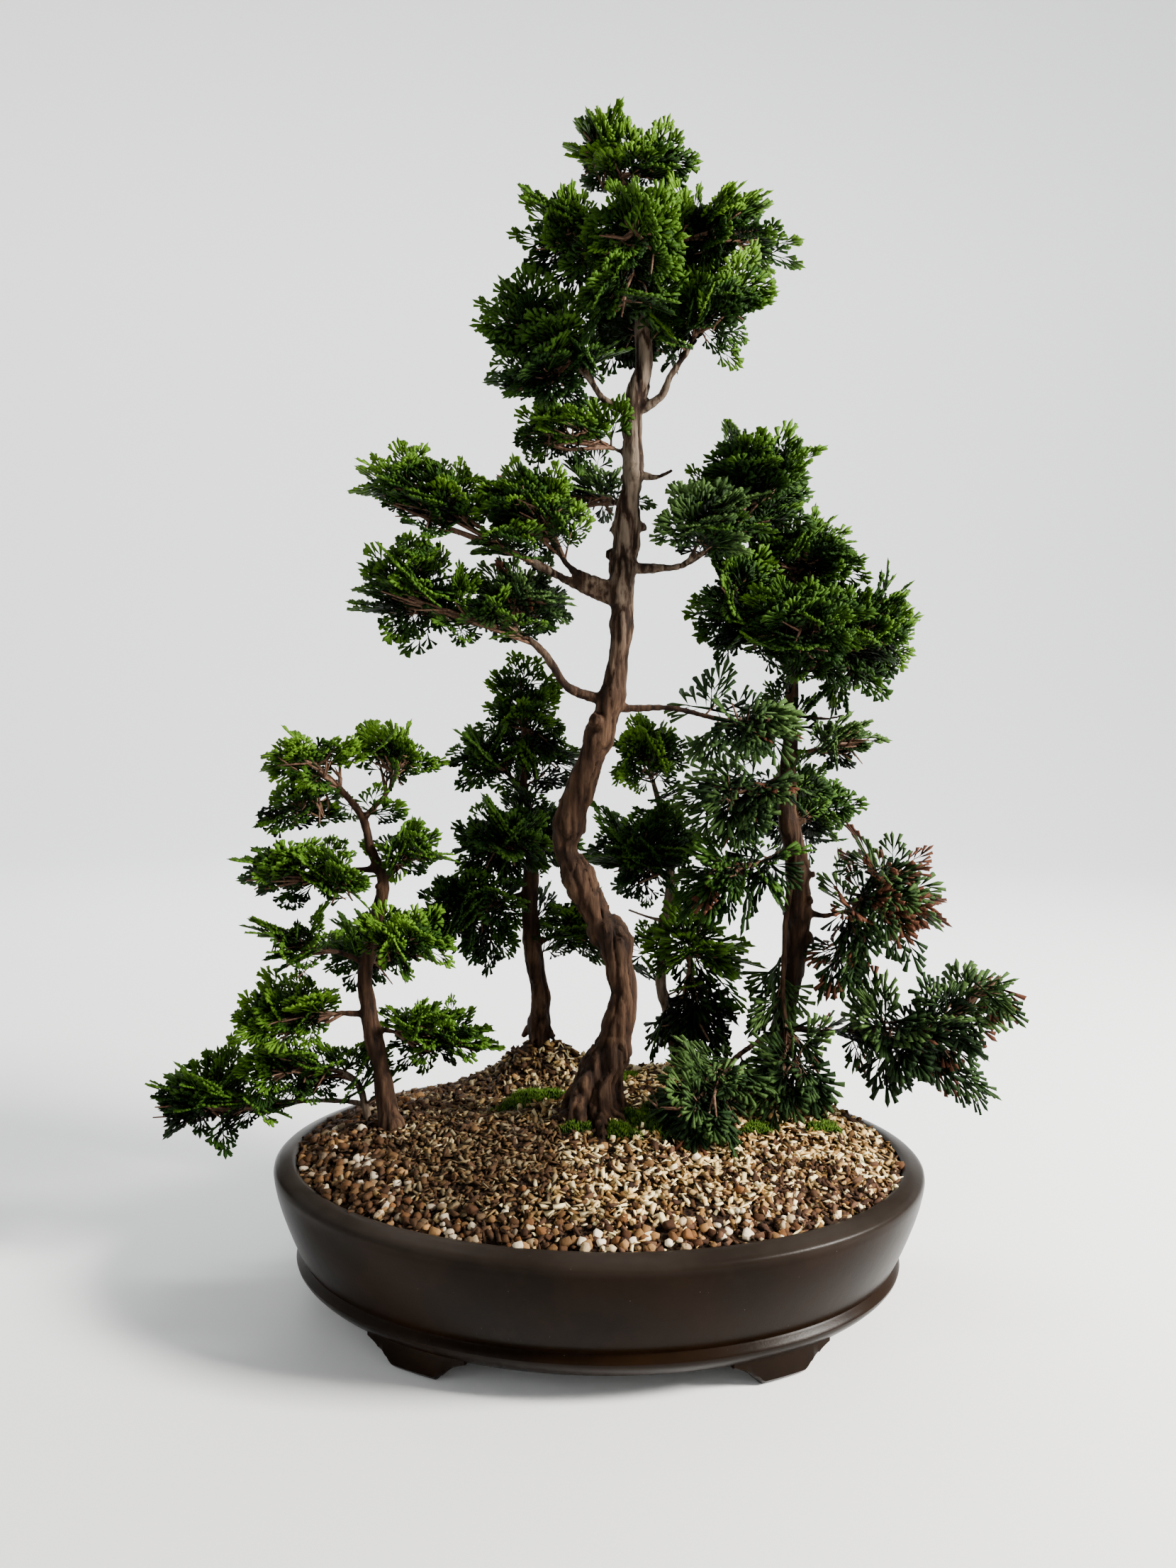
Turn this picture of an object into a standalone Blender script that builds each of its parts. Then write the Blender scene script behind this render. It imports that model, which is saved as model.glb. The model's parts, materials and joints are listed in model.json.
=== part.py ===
"""A hinoki cypress forest bonsai in an oval stoneware pot.

Five trees and a young stem stand in a mound of grit. Each trunk with its branches is one
solid, and each frond of flat foliage sprays that a branch carries is one solid.

Every length in the tables is in millimetres, measured from the middle of the pot's
footprint on the surface that the pot stands on: +X to the viewer's right, +Y away from
the viewer, +Z up. The meshes are in metres.
"""
import math
import random
from dataclasses import dataclass, field

import bmesh
import bpy
from mathutils import Matrix, Vector
from mathutils.bvhtree import BVHTree

MM = 0.001
GAP = 0.3

# Where the middle of the pot stands from the middle of the whole object's footprint.
POT_PLACE = (4.0, 0.0, 0.0)

# The pot: an oval body on four cloud feet, with a band above the feet and an inward lip.
POT_LENGTH = 420.0
POT_WIDTH = 324.0
POT_SIDES = 32
UNDERSIDE_HEIGHT = 13.5
FLOOR_HEIGHT = 21.5
LIP_WIDTH = 14.5
# Points of the wall's section as (inset from the widest oval, height).
POT_OUTSIDE = [
    (20.0, UNDERSIDE_HEIGHT), (15.5, 19.5), (14.0, 23.5), (15.5, 27.5), (17.5, 29.5),
    (11.0, 44.0), (4.5, 62.0), (0.5, 78.0), (0.3, 84.0), (3.0, 86.3),
]
POT_INSIDE = [
    (LIP_WIDTH - 2.0, 89.0), (LIP_WIDTH, 87.0), (LIP_WIDTH, 80.0), (10.0, 74.0),
    (27.0, 29.0), (34.0, FLOOR_HEIGHT),
]
FOOT_ANGLES = (56.0, 124.0, 236.0, 304.0)
FOOT_SPAN = 74.0
# Half of a foot's elevation as (share of the half span, height of its lower edge).
FOOT_EDGE = [(1.0, 13.0), (0.72, 9.0), (0.56, 4.5), (0.42, 0.0)]
FOOT_INSETS = (20.6, 36.0)
FOOT_TAPER = 2.0
FOOT_SINK = 3.0
DRAIN_PLACES = [(-78.0, 0.0), (78.0, 0.0)]
DRAIN_RADIUS = 8.5
DRAIN_SIDES = 12
SCREEN_SIZE = 26.0
SCREEN_THICKNESS = 1.2
SCREEN_MESHES = 2
SCREEN_BAR = 2.0
# How far a cutter reaches past what it cuts.
CUT_PAST = 5.0

# The soil: a dome with a swelling under each tree, crumbled by a seeded draw.
SOIL_RIM = 86.6
DOME_RISE = 18.0
# The swellings as (x, y, height, spread).
SWELLINGS = [
    (0.0, -5.0, 9.0, 55.0), (115.0, 65.0, 14.0, 40.0), (59.0, 96.0, 10.0, 40.0),
    (-44.0, 105.0, 35.0, 24.0),
]
RIM_FADE = 0.3
CRUMB = 1.3
SOIL_RINGS = 7

# The holes that the trunks and roots leave in the soil are this much larger all round.
HOLE_GAP = 0.4
# A trunk's lobes fade out over its first few points.
FLARE_POINTS = 4
# A surface root's points as (share of its reach, height above the soil).
ROOT_POINTS = [(0.12, 9.0), (0.5, 2.5), (0.8, -1.5), (1.0, -9.0)]
ROOT_TIP_SHARE = 0.3

# A foliage blade is a flat fan of pointed fingers.
BLADE_THICKNESS = 0.8
BLADE_LENGTHS = (16.0, 68.0)
# A fan's count of fingers as (longest length, count).
FINGER_COUNTS = [(25.0, 3), (37.0, 4), (math.inf, 5)]
PALM_SHARE = 0.14
NOTCH_SHARES = (0.62, 0.74)
FINGER_REACHES = (0.84, 1.04)
OUTER_FINGER_LOSS = 0.27
FINGER_TURN = 0.09
FAN_SPREADS = (math.radians(52.0), math.radians(74.0))
FAN_WIDTHS = (1.08, 1.28)
FAN_ROLL = 1.1

# How the blades spread from a cluster's twig and reach past its ellipsoid.
FORWARD_MOST = 0.90
BACKWARD_TURN = 1.25
BLADE_REACH = 1.2
ROOT_SHARES = (0.3, 0.98)
GOLDEN_ANGLE = math.pi * (3.0 - math.sqrt(5.0))

# A blade is drawn until it clears its neighbours. Strain grows from 0 to 1 over the draws.
BLADE_DRAWS = 300
AIM_WANDER = (0.12, 0.8)
ROOT_WANDER = (0.03, 0.2)
REACH_LOSS = 0.3
WIDTH_LOSS = 0.45
BLADE_CLEARANCE = 0.45
SOIL_CLEARANCE = 2.0

# A cluster's twig swells to a slim core at the cluster's middle.
TWIG_STUB = 5.0
TWIG_RADIUS = 1.5
SIDE_TWIG_RADIUS = 1.25
TWIG_TIP = 0.9
CORE_SHARES = (0.34, 0.26, 0.18, 0.10)
CORE_END = 0.45

GREEN = (0.055, 0.150, 0.035)
BRIGHT_GREEN = (0.120, 0.260, 0.045)
DARK_GREEN = (0.030, 0.085, 0.030)
GREY_GREEN = (0.060, 0.110, 0.055)
BARK = (0.190, 0.105, 0.070)
GREY_BARK = (0.200, 0.160, 0.130)


@dataclass
class Branch:
    """A tapering branch: its route starts inside the trunk and ends in a flat face."""
    name: str
    radii: tuple
    route: list


@dataclass
class Root:
    """A surface root that leaves the trunk's foot and dips into the soil."""
    angle: float
    reach: float
    radius: float


@dataclass
class Tree:
    """A trunk as (x, y, z, radius) points from below the soil to its top, and its branches."""
    name: str
    sides: int
    colour: tuple
    trunk: list
    branches: list = field(default_factory=list)
    roots: list = field(default_factory=list)
    lobes: tuple = (5, 0.14)


@dataclass
class Cluster:
    """Blades spread over an ellipsoid. A later cluster of a frond springs from its first."""
    centre: tuple
    radii: tuple
    blades: int
    springs_at: float = 0.45


@dataclass
class Frond:
    """The foliage that one branch carries."""
    branch: str
    colour: tuple
    clusters: list


MAIN_TREE = Tree(
    "main_tree", 8, BARK,
    [(-3, -6, 84, 15), (-3, -6, 115, 18.5), (-3, -5, 131, 16.5),
     (6, -4, 151, 13.2), (11, -2, 170, 10.4), (13, 0, 193, 9.2), (10, 3, 216, 10.5),
     (2, 6, 236, 10.9), (-14, 8, 261, 10.3), (-24, 8, 284, 9.9), (-21, 6, 307, 10.0),
     (-15, 4, 327, 9.8), (-4, 1, 358, 9.3), (5, 0, 385, 8.3), (11, 0, 431, 7.7),
     (9, 1, 450, 9.0), (12, 2, 474, 8.6), (13, 3, 503, 7.5), (16, 4, 530, 6.8),
     (15, 4, 565, 6.8), (21, 3, 586, 6.0), (22, 2, 603, 5.5), (18, 0, 645, 4.0),
     (8, 0, 702, 2.2)],
    [Branch("crown_left", (2.8, 1.6), [(18, 0, 645), (0, -2, 656), (-10, -4, 662)]),
     Branch("crown_front", (2.8, 1.6), [(18, 0, 640), (15, -14, 650), (14, -24, 654)]),
     Branch("crown_right", (3.0, 1.6), [(17, 0, 650), (32, 0, 662), (44, 0, 668)]),
     Branch("crown_back", (3.0, 1.6), [(19, 1, 635), (20, 16, 655), (21, 28, 668)]),
     Branch("low_right", (3.6, 1.7), [(18, 3, 565), (33, 0, 573), (38, -3, 585), (47, -7, 597),
                                     (53, -8, 608)]),
     Branch("lobe_left", (3.6, 1.7), [(17, 4, 565), (-1, 0, 570), (-13, -6, 583), (-21, -9, 588)]),
     Branch("tufts_left", (2.4, 1.4), [(16, 4, 536), (4, 3, 541), (-6, 2, 546)]),
     Branch("dead_stub", (2.8, 1.5), [(15, 3, 526), (30, -1, 522), (41, -4, 527)]),
     Branch("a_inner", (2.6, 1.5), [(13, 3, 505), (6, 9, 508), (1, 16, 511)]),
     Branch("a_mid", (3.8, 1.7), [(9, 1, 453), (-14, -4, 459), (-25, -8, 467), (-31, -10, 478),
                                  (-36, -12, 486)]),
     Branch("a_left", (4.0, 1.8), [(6, 0, 445), (-18, -4, 453), (-35, -10, 462), (-54, -14, 471),
                                   (-72, -14, 480), (-90, -13, 491)]),
     Branch("b_left", (4.2, 1.8), [(5, 0, 380), (-22, -6, 389), (-32, -10, 401), (-42, -12, 414),
                                   (-55, -14, 423), (-84, -14, 429), (-99, -14, 433)]),
     Branch("b_mid", (2.4, 1.6), [(-54, -14, 422), (-57, -11, 429), (-58, -6, 434)]),
     Branch("c_top", (3.6, 1.8), [(12, 2, 466), (41, -2, 466), (54, -6, 472), (66, -8, 479),
                                  (79, -8, 490)]),
     Branch("c_low", (2.2, 1.6), [(53, -6, 471), (55, -11, 477), (57, -15, 482)]),
     Branch("d_end", (3.2, 1.6), [(4, 0, 377), (42, 0, 377), (68, -6, 372), (82, -10, 369)])],
    [Root(268, 46, 6.0), Root(200, 38, 5.5), Root(330, 38, 5.5), Root(85, 34, 5.5)])

RIGHT_TREE = Tree(
    "right_tree", 7, BARK,
    [(122, 73, 84, 9), (123, 73, 113, 10.2), (127, 72, 127, 8.8),
     (135, 69, 180, 8.2), (139, 67, 214, 8.2), (140, 65, 248, 9.0), (135, 64, 276, 8.0),
     (128, 62, 317, 6.6), (130, 60, 358, 5.4), (130, 60, 396, 4.2), (128, 58, 440, 3.0),
     (129, 56, 464, 2.4)],
    [Branch("r_crown_left", (2.8, 1.6), [(130, 60, 405), (115, 52, 415), (105, 45, 425)]),
     Branch("r_crown_right", (2.8, 1.6), [(130, 60, 398), (146, 54, 408), (156, 50, 416)]),
     Branch("r_crown_front", (2.8, 1.6), [(129, 59, 413), (128, 44, 420), (127, 32, 424)]),
     Branch("r_crown_back", (2.8, 1.6), [(129, 59, 408), (133, 74, 420), (136, 84, 426)]),
     Branch("dead_twig", (1.8, 1.1), [(130, 60, 374), (152, 56, 371), (166, 53, 374)]),
     Branch("r_fan_right", (2.2, 1.4), [(129, 61, 345), (140, 57, 348), (148, 53, 350)]),
     Branch("r_left_up", (2.8, 1.6), [(129, 62, 330), (118, 54, 328), (109, 47, 325)]),
     Branch("r_left_low", (2.8, 1.6), [(135, 64, 280), (120, 54, 276), (108, 45, 272)]),
     Branch("r_back_mid", (2.8, 1.6), [(132, 63, 296), (137, 78, 297), (140, 88, 299)]),
     Branch("r_right_mid", (3.4, 1.8), [(140, 66, 236), (156, 60, 233), (170, 54, 238)]),
     Branch("r_low_right", (3.4, 1.8), [(131, 71, 155), (147, 66, 150), (162, 59, 151),
                                        (184, 48, 157)]),
     Branch("r_low_centre", (3.0, 1.6), [(136, 64, 270), (130, 54, 250), (128, 52, 216),
                                         (127, 48, 182), (129, 42, 160)]),
     Branch("r_front_droop", (3.0, 1.6), [(131, 71, 148), (112, 50, 147), (92, 22, 142),
                                          (80, 2, 137)])])

BACK_RIGHT_TREE = Tree(
    "back_right_tree", 6, GREY_BARK,
    [(59, 96, 90, 5.5), (59, 96, 115, 6.4), (54, 95, 145, 4.8),
     (46, 94, 172, 4.3), (46, 93, 195, 3.9), (50, 92, 240, 3.4), (50, 92, 268, 3.0),
     (42, 90, 305, 2.4), (36, 89, 326, 2.0)],
    [Branch("br_mid", (2.2, 1.5), [(50, 92, 252), (42, 88, 258), (37, 86, 263)]),
     Branch("br_low_right", (2.2, 1.5), [(46, 93, 188), (56, 88, 193), (62, 85, 197)]),
     Branch("br_twig", (1.6, 1.0), [(48, 92, 222), (34, 89, 226), (20, 87, 231)])])

BACK_LEFT_TREE = Tree(
    "back_left_tree", 7, BARK,
    [(-44, 105, 108, 8), (-44, 105, 136, 9.6), (-43, 105, 150, 6.6),
     (-43, 105, 166, 7.7), (-50, 104, 200, 7.3), (-52, 104, 228, 6.2), (-51, 104, 287, 4.2),
     (-57, 104, 318, 2.9), (-58, 104, 354, 2.2)],
    [Branch("bl_left", (2.2, 1.4), [(-57, 104, 316), (-66, 99, 325), (-72, 97, 330)]),
     Branch("bl_mid", (2.6, 1.5), [(-52, 104, 266), (-58, 94, 271), (-63, 88, 274)]),
     Branch("bl_back", (2.6, 1.5), [(-52, 104, 258), (-51, 115, 265), (-51, 122, 270)]),
     Branch("bl_low_left", (3.0, 1.7), [(-52, 104, 240), (-66, 97, 237), (-78, 92, 233)]),
     Branch("bl_low_right", (2.6, 1.5), [(-50, 104, 200), (-38, 106, 205), (-29, 108, 208)])],
    lobes=(4, 0.18))

LEFT_TREE = Tree(
    "left_tree", 7, BARK,
    [(-137, 0, 76, 7), (-137, 0, 99, 8.4), (-140, 1, 118, 6.4),
     (-151, 4, 171, 5.6), (-155, 4, 203, 5.2), (-144, 4, 251, 4.6), (-144, 4, 268, 4.0),
     (-151, 4, 284, 3.4), (-156, 4, 304, 2.8), (-170, 0, 323, 2.2), (-178, -3, 332, 1.7)],
    [Branch("l_top_right", (2.2, 1.4), [(-156, 4, 303), (-147, 8, 313), (-139, 9, 323),
                                        (-136, 10, 331)]),
     Branch("l_third", (2.6, 1.5), [(-145, 4, 270), (-162, 0, 270), (-178, -3, 268)]),
     Branch("l_right_up", (2.2, 1.4), [(-144, 4, 260), (-137, 8, 267), (-134, 10, 271)]),
     Branch("l_fourth", (2.4, 1.5), [(-155, 4, 208), (-168, -2, 216), (-177, -5, 219)]),
     Branch("l_bright", (2.6, 1.5), [(-152, 4, 218), (-145, -4, 221), (-140, -9, 222)]),
     Branch("l_back", (2.6, 1.5), [(-155, 4, 198), (-158, 20, 202), (-160, 31, 204)]),
     Branch("l_right_low", (2.4, 1.5), [(-150, 4, 165), (-136, 10, 161), (-128, 14, 158)]),
     Branch("l_low_left", (2.6, 1.5), [(-151, 4, 174), (-168, 0, 176), (-180, -2, 175)])])

YOUNG_STEM = Tree(
    "young_stem", 5, GREY_BARK,
    [(-156, 22, 80, 2.8), (-156, 22, 97, 3.3), (-158, 21, 108, 2.9), (-163, 20, 123, 2.5),
     (-174, 18, 131, 2.1), (-187, 15, 134, 1.7)],
    [Branch("l_lowest", (2.2, 1.6), [(-158, 21, 108), (-176, 30, 107), (-198, 32, 106),
                                     (-220, 20, 106), (-240, 8, 108)])])

TREES = [MAIN_TREE, RIGHT_TREE, BACK_RIGHT_TREE, BACK_LEFT_TREE, LEFT_TREE, YOUNG_STEM]

# A frond is named for its branch, or for the tree whose trunk's own top carries it.
FRONDS = [
    Frond("main_tree", BRIGHT_GREEN, [
        Cluster((22, 0, 712), (30, 24, 24), 3),
        Cluster((-10, 0, 724), (14, 12, 30), 2, 0.1)]),
    Frond("crown_left", GREEN, [Cluster((-27, -5, 668), (28, 24, 27), 3)]),
    Frond("crown_front", GREEN, [
        Cluster((13, -40, 657), (32, 20, 28), 3),
        Cluster((8, -38, 619), (28, 18, 20), 3, 0.5)]),
    Frond("crown_right", BRIGHT_GREEN, [Cluster((74, 0, 673), (34, 28, 28), 4)]),
    Frond("crown_back", DARK_GREEN, [
        Cluster((21, 52, 680), (36, 26, 34), 4),
        Cluster((20, 50, 620), (34, 24, 22), 3, 0.5)]),
    Frond("low_right", BRIGHT_GREEN, [Cluster((66, -10, 628), (34, 28, 23), 4)]),
    Frond("lobe_left", DARK_GREEN, [
        Cluster((-42, -8, 579), (31, 20, 16), 3),
        Cluster((-50, 0, 619), (32, 26, 24), 4, 0.35)]),
    Frond("tufts_left", GREEN, [Cluster((-33, 0, 548), (36, 20, 17), 3)]),
    Frond("a_inner", GREY_GREEN, [
        Cluster((-6, 26, 515), (24, 16, 20), 2),
        Cluster((-62, 50, 507), (34, 24, 27), 4, 0.8)]),
    Frond("a_mid", BRIGHT_GREEN, [Cluster((-54, -18, 503), (32, 25, 26), 4)]),
    Frond("a_left", BRIGHT_GREEN, [Cluster((-123, -10, 510), (32, 28, 28), 4)]),
    Frond("b_left", GREEN, [Cluster((-124, -14, 447), (34, 28, 30), 4)]),
    Frond("b_mid", GREY_GREEN, [
        Cluster((-58, -8, 444), (32, 22, 19), 3),
        Cluster((-56, 42, 446), (32, 24, 23), 3, 0.5)]),
    Frond("c_top", GREEN, [
        Cluster((93, -8, 532), (38, 28, 24), 4),
        Cluster((96, 30, 511), (34, 24, 28), 4, 0.3)]),
    Frond("c_low", GREY_GREEN, [Cluster((62, -18, 497), (27, 20, 24), 3)]),
    Frond("d_end", GREY_GREEN, [Cluster((96, -13, 371), (20, 18, 15), 2)]),
    Frond("right_tree", GREEN, [Cluster((131, 48, 482), (42, 28, 26), 4)]),
    Frond("r_crown_left", GREEN, [Cluster((86, 32, 446), (28, 26, 42), 4)]),
    Frond("r_crown_right", BRIGHT_GREEN, [Cluster((176, 42, 432), (33, 30, 52), 5)]),
    Frond("r_crown_front", GREEN, [Cluster((125, 6, 432), (36, 24, 36), 4)]),
    Frond("r_crown_back", DARK_GREEN, [Cluster((142, 104, 438), (40, 28, 38), 5)]),
    Frond("r_fan_right", GREY_GREEN, [Cluster((166, 45, 354), (23, 18, 15), 2)]),
    Frond("r_left_up", GREY_GREEN, [Cluster((87, 32, 320), (34, 26, 28), 4)]),
    Frond("r_left_low", DARK_GREEN, [Cluster((85, 30, 268), (33, 26, 28), 4)]),
    Frond("r_back_mid", DARK_GREEN, [Cluster((148, 112, 300), (34, 24, 34), 4)]),
    Frond("r_right_mid", GREY_GREEN, [
        Cluster((194, 45, 257), (42, 30, 38), 5),
        Cluster((166, 46, 211), (22, 15, 15), 2, 0.5)]),
    Frond("r_low_right", GREY_GREEN, [
        Cluster((220, 32, 160), (42, 30, 46), 5),
        Cluster((264, 28, 194), (22, 10, 8), 2, 0.8)]),
    Frond("r_low_centre", GREY_GREEN, [Cluster((134, 20, 134), (36, 30, 28), 4)]),
    Frond("r_front_droop", GREY_GREEN, [Cluster((58, -28, 128), (38, 32, 17), 4)]),
    Frond("back_right_tree", BRIGHT_GREEN, [Cluster((32, 88, 346), (27, 23, 25), 3)]),
    Frond("br_mid", DARK_GREEN, [Cluster((29, 82, 272), (38, 28, 34), 5)]),
    Frond("br_low_right", GREEN, [
        Cluster((67, 83, 208), (36, 26, 28), 4),
        Cluster((68, 78, 154), (38, 26, 24), 4, 0.3)]),
    Frond("back_left_tree", GREEN, [
        Cluster((-60, 104, 384), (24, 22, 32), 3),
        Cluster((-38, 112, 340), (20, 18, 22), 2, 0.5)]),
    Frond("bl_left", DARK_GREEN, [Cluster((-84, 94, 339), (30, 22, 22), 3)]),
    Frond("bl_mid", DARK_GREEN, [Cluster((-74, 82, 279), (36, 26, 32), 4)]),
    Frond("bl_back", DARK_GREEN, [Cluster((-52, 134, 279), (34, 22, 30), 4)]),
    Frond("bl_low_left", DARK_GREEN, [Cluster((-102, 88, 226), (36, 28, 40), 5)]),
    Frond("bl_low_right", GREEN, [Cluster((-20, 110, 217), (20, 18, 23), 2)]),
    Frond("left_tree", BRIGHT_GREEN, [
        Cluster((-190, -3, 343), (30, 24, 16), 3),
        Cluster((-197, 0, 306), (30, 22, 13), 2, 0.4)]),
    Frond("l_top_right", BRIGHT_GREEN, [Cluster((-143, 12, 347), (28, 22, 14), 2)]),
    Frond("l_third", GREEN, [
        Cluster((-207, -5, 268), (31, 24, 21), 3),
        Cluster((-164, -24, 263), (18, 14, 14), 2, 0.5)]),
    Frond("l_right_up", GREEN, [Cluster((-127, 11, 281), (21, 20, 19), 2)]),
    Frond("l_fourth", GREEN, [Cluster((-197, -10, 224), (26, 22, 19), 3)]),
    Frond("l_bright", BRIGHT_GREEN, [Cluster((-126, -17, 225), (29, 24, 23), 3)]),
    Frond("l_back", DARK_GREEN, [Cluster((-162, 54, 208), (30, 24, 27), 4)]),
    Frond("l_right_low", GREEN, [Cluster((-107, 20, 154), (36, 26, 22), 4)]),
    Frond("l_low_left", BRIGHT_GREEN, [Cluster((-205, -6, 175), (38, 28, 22), 4)]),
    Frond("young_stem", GREEN, [Cluster((-208, 6, 137), (27, 24, 21), 3)]),
    Frond("l_lowest", GREEN, [Cluster((-268, -4, 118), (38, 28, 26), 4)]),
]


def clear_scene():
    """Remove whatever objects the scene holds."""
    for item in list(bpy.data.objects):
        bpy.data.objects.remove(item, do_unlink=True)


def new_collection(name):
    """Make a collection in the scene."""
    collection = bpy.data.collections.new(name)
    bpy.context.scene.collection.children.link(collection)
    return collection


def finish(item, colour, roughness):
    """Give an object its own material."""
    paint = bpy.data.materials.new(item.name + "_finish")
    paint.use_nodes = True
    shader = paint.node_tree.nodes["Principled BSDF"]
    shader.inputs["Base Color"].default_value = (*colour, 1.0)
    shader.inputs["Roughness"].default_value = roughness
    shader.inputs["Metallic"].default_value = 0.0
    item.data.materials.clear()
    item.data.materials.append(paint)
    item.data.shade_smooth()
    item.data.set_sharp_from_angle(angle=math.radians(35.0))


def mesh_object(name, points, faces, collection):
    """Make a mesh object from points in millimetres."""
    mesh = bpy.data.meshes.new(name)
    mesh.from_pydata([Vector(point) * MM for point in points], [], faces)
    mesh.update()
    item = bpy.data.objects.new(name, mesh)
    collection.objects.link(item)
    return item


def loft(name, rings, collection):
    """Skin a stack of rings of equal counts, listed from the bottom up, and cap both ends."""
    count = len(rings[0])
    points = [point for ring in rings for point in ring]
    faces = [tuple(reversed(range(count)))]
    for row in range(len(rings) - 1):
        low, high = row * count, (row + 1) * count
        for i in range(count):
            j = (i + 1) % count
            faces.append((low + i, low + j, high + j))
            faces.append((low + i, high + j, high + i))
    top = (len(rings) - 1) * count
    faces.append(tuple(range(top, top + count)))
    return mesh_object(name, points, faces, collection)


def tapering(first, last, count):
    """Radii that narrow evenly from the first to the last."""
    return [first + (last - first) * i / (count - 1) for i in range(count)]


def tube(name, route, radii, collection, resolution=0):
    """Sweep a round section along a route, a radius for each point, with welded caps."""
    curve = bpy.data.curves.new(name, "CURVE")
    curve.dimensions = "3D"
    curve.bevel_depth = MM
    curve.bevel_resolution = resolution
    curve.use_fill_caps = True
    spline = curve.splines.new("POLY")
    spline.points.add(len(route) - 1)
    for i, (point, radius) in enumerate(zip(route, radii)):
        spline.points[i].co = (*(Vector(point) * MM), 1.0)
        spline.points[i].radius = radius
    swept = bpy.data.objects.new(name + "_curve", curve)
    collection.objects.link(swept)
    depsgraph = bpy.context.evaluated_depsgraph_get()
    mesh = bpy.data.meshes.new_from_object(swept.evaluated_get(depsgraph))
    shape = bmesh.new()
    shape.from_mesh(mesh)
    bmesh.ops.remove_doubles(shape, verts=shape.verts, dist=0.01 * MM)
    shape.to_mesh(mesh)
    shape.free()
    item = bpy.data.objects.new(name, mesh)
    item.matrix_world = swept.matrix_world
    collection.objects.link(item)
    bpy.data.objects.remove(swept, do_unlink=True)
    return item


def combine(item, others, operation):
    """Apply one Boolean of a collection of objects to an object, and remove the collection."""
    group = new_collection(item.name + "_operands")
    for other in others:
        for owner in list(other.users_collection):
            owner.objects.unlink(other)
        group.objects.link(other)
    modifier = item.modifiers.new("combine", "BOOLEAN")
    modifier.operation = operation
    modifier.operand_type = "COLLECTION"
    modifier.collection = group
    modifier.solver = "EXACT"
    depsgraph = bpy.context.evaluated_depsgraph_get()
    result = bpy.data.meshes.new_from_object(item.evaluated_get(depsgraph))
    item.modifiers.clear()
    item.data = result
    for other in list(group.objects):
        bpy.data.objects.remove(other, do_unlink=True)
    bpy.data.collections.remove(group)


def split_faces(item):
    """Turn an object's faces outwards and split them into triangles."""
    shape = bmesh.new()
    shape.from_mesh(item.data)
    bmesh.ops.recalc_face_normals(shape, faces=shape.faces)
    bmesh.ops.triangulate(shape, faces=shape.faces)
    shape.to_mesh(item.data)
    shape.free()


def search_tree(item):
    """Index an object's triangles, in millimetres, to test what crosses them."""
    item.data.calc_loop_triangles()
    points = [vertex.co / MM for vertex in item.data.vertices]
    faces = [tuple(triangle.vertices) for triangle in item.data.loop_triangles]
    return BVHTree.FromPolygons(points, faces)


def oval_point(inset, height, angle):
    """A point of the pot's oval, drawn in by an inset."""
    across = (POT_LENGTH / 2 - inset) * math.cos(angle)
    along = (POT_WIDTH / 2 - inset) * math.sin(angle)
    return (across, along, height)


def oval_ring(inset, height):
    """One ring of the pot's wall."""
    return [oval_point(inset, height, math.tau * i / POT_SIDES) for i in range(POT_SIDES)]


def foot(name, middle_angle, collection):
    """A cloud-shaped foot that follows the pot's oval."""
    stations = [(-share, height) for share, height in FOOT_EDGE]
    stations += [(share, height) for share, height in reversed(FOOT_EDGE)]
    outer, inner = FOOT_INSETS
    top = UNDERSIDE_HEIGHT + FOOT_SINK
    middle = math.radians(middle_angle)
    speed = math.hypot(POT_LENGTH / 2 * math.sin(middle), POT_WIDTH / 2 * math.cos(middle))
    points, faces = [], []
    for share, low in stations:
        angle = middle + share * FOOT_SPAN / 2 / speed
        taper = FOOT_TAPER * (1.0 - low / UNDERSIDE_HEIGHT)
        points += [oval_point(outer + taper, low, angle), oval_point(inner - taper, low, angle),
                   oval_point(inner, top, angle), oval_point(outer, top, angle)]
    for station in range(len(stations) - 1):
        base = 4 * station
        for i in range(4):
            j = (i + 1) % 4
            faces.append((base + i, base + j, base + 4 + j, base + 4 + i))
    last = 4 * (len(stations) - 1)
    faces.append((3, 2, 1, 0))
    faces.append((last, last + 1, last + 2, last + 3))
    item = mesh_object(name, points, faces, collection)
    split_faces(item)
    return item


def cylinder(name, place, radius, low, high, collection):
    """An upright cylinder that cuts a drain."""
    shape = bmesh.new()
    middle = Vector((place[0], place[1], (low + high) / 2)) * MM
    bmesh.ops.create_cone(
        shape, cap_ends=True, segments=DRAIN_SIDES, radius1=radius * MM, radius2=radius * MM,
        depth=(high - low) * MM, matrix=Matrix.Translation(middle))
    return bmesh_object(name, shape, collection)


def block(name, low, high, collection):
    """A box between two corners."""
    shape = bmesh.new()
    middle = (Vector(low) + Vector(high)) / 2 * MM
    size = (Vector(high) - Vector(low)) * MM
    bmesh.ops.create_cube(shape, size=1.0, matrix=Matrix.LocRotScale(middle, None, size))
    return bmesh_object(name, shape, collection)


def bmesh_object(name, shape, collection):
    """Make an object of a bmesh and free the bmesh."""
    mesh = bpy.data.meshes.new(name)
    shape.to_mesh(mesh)
    shape.free()
    item = bpy.data.objects.new(name, mesh)
    collection.objects.link(item)
    return item


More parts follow.
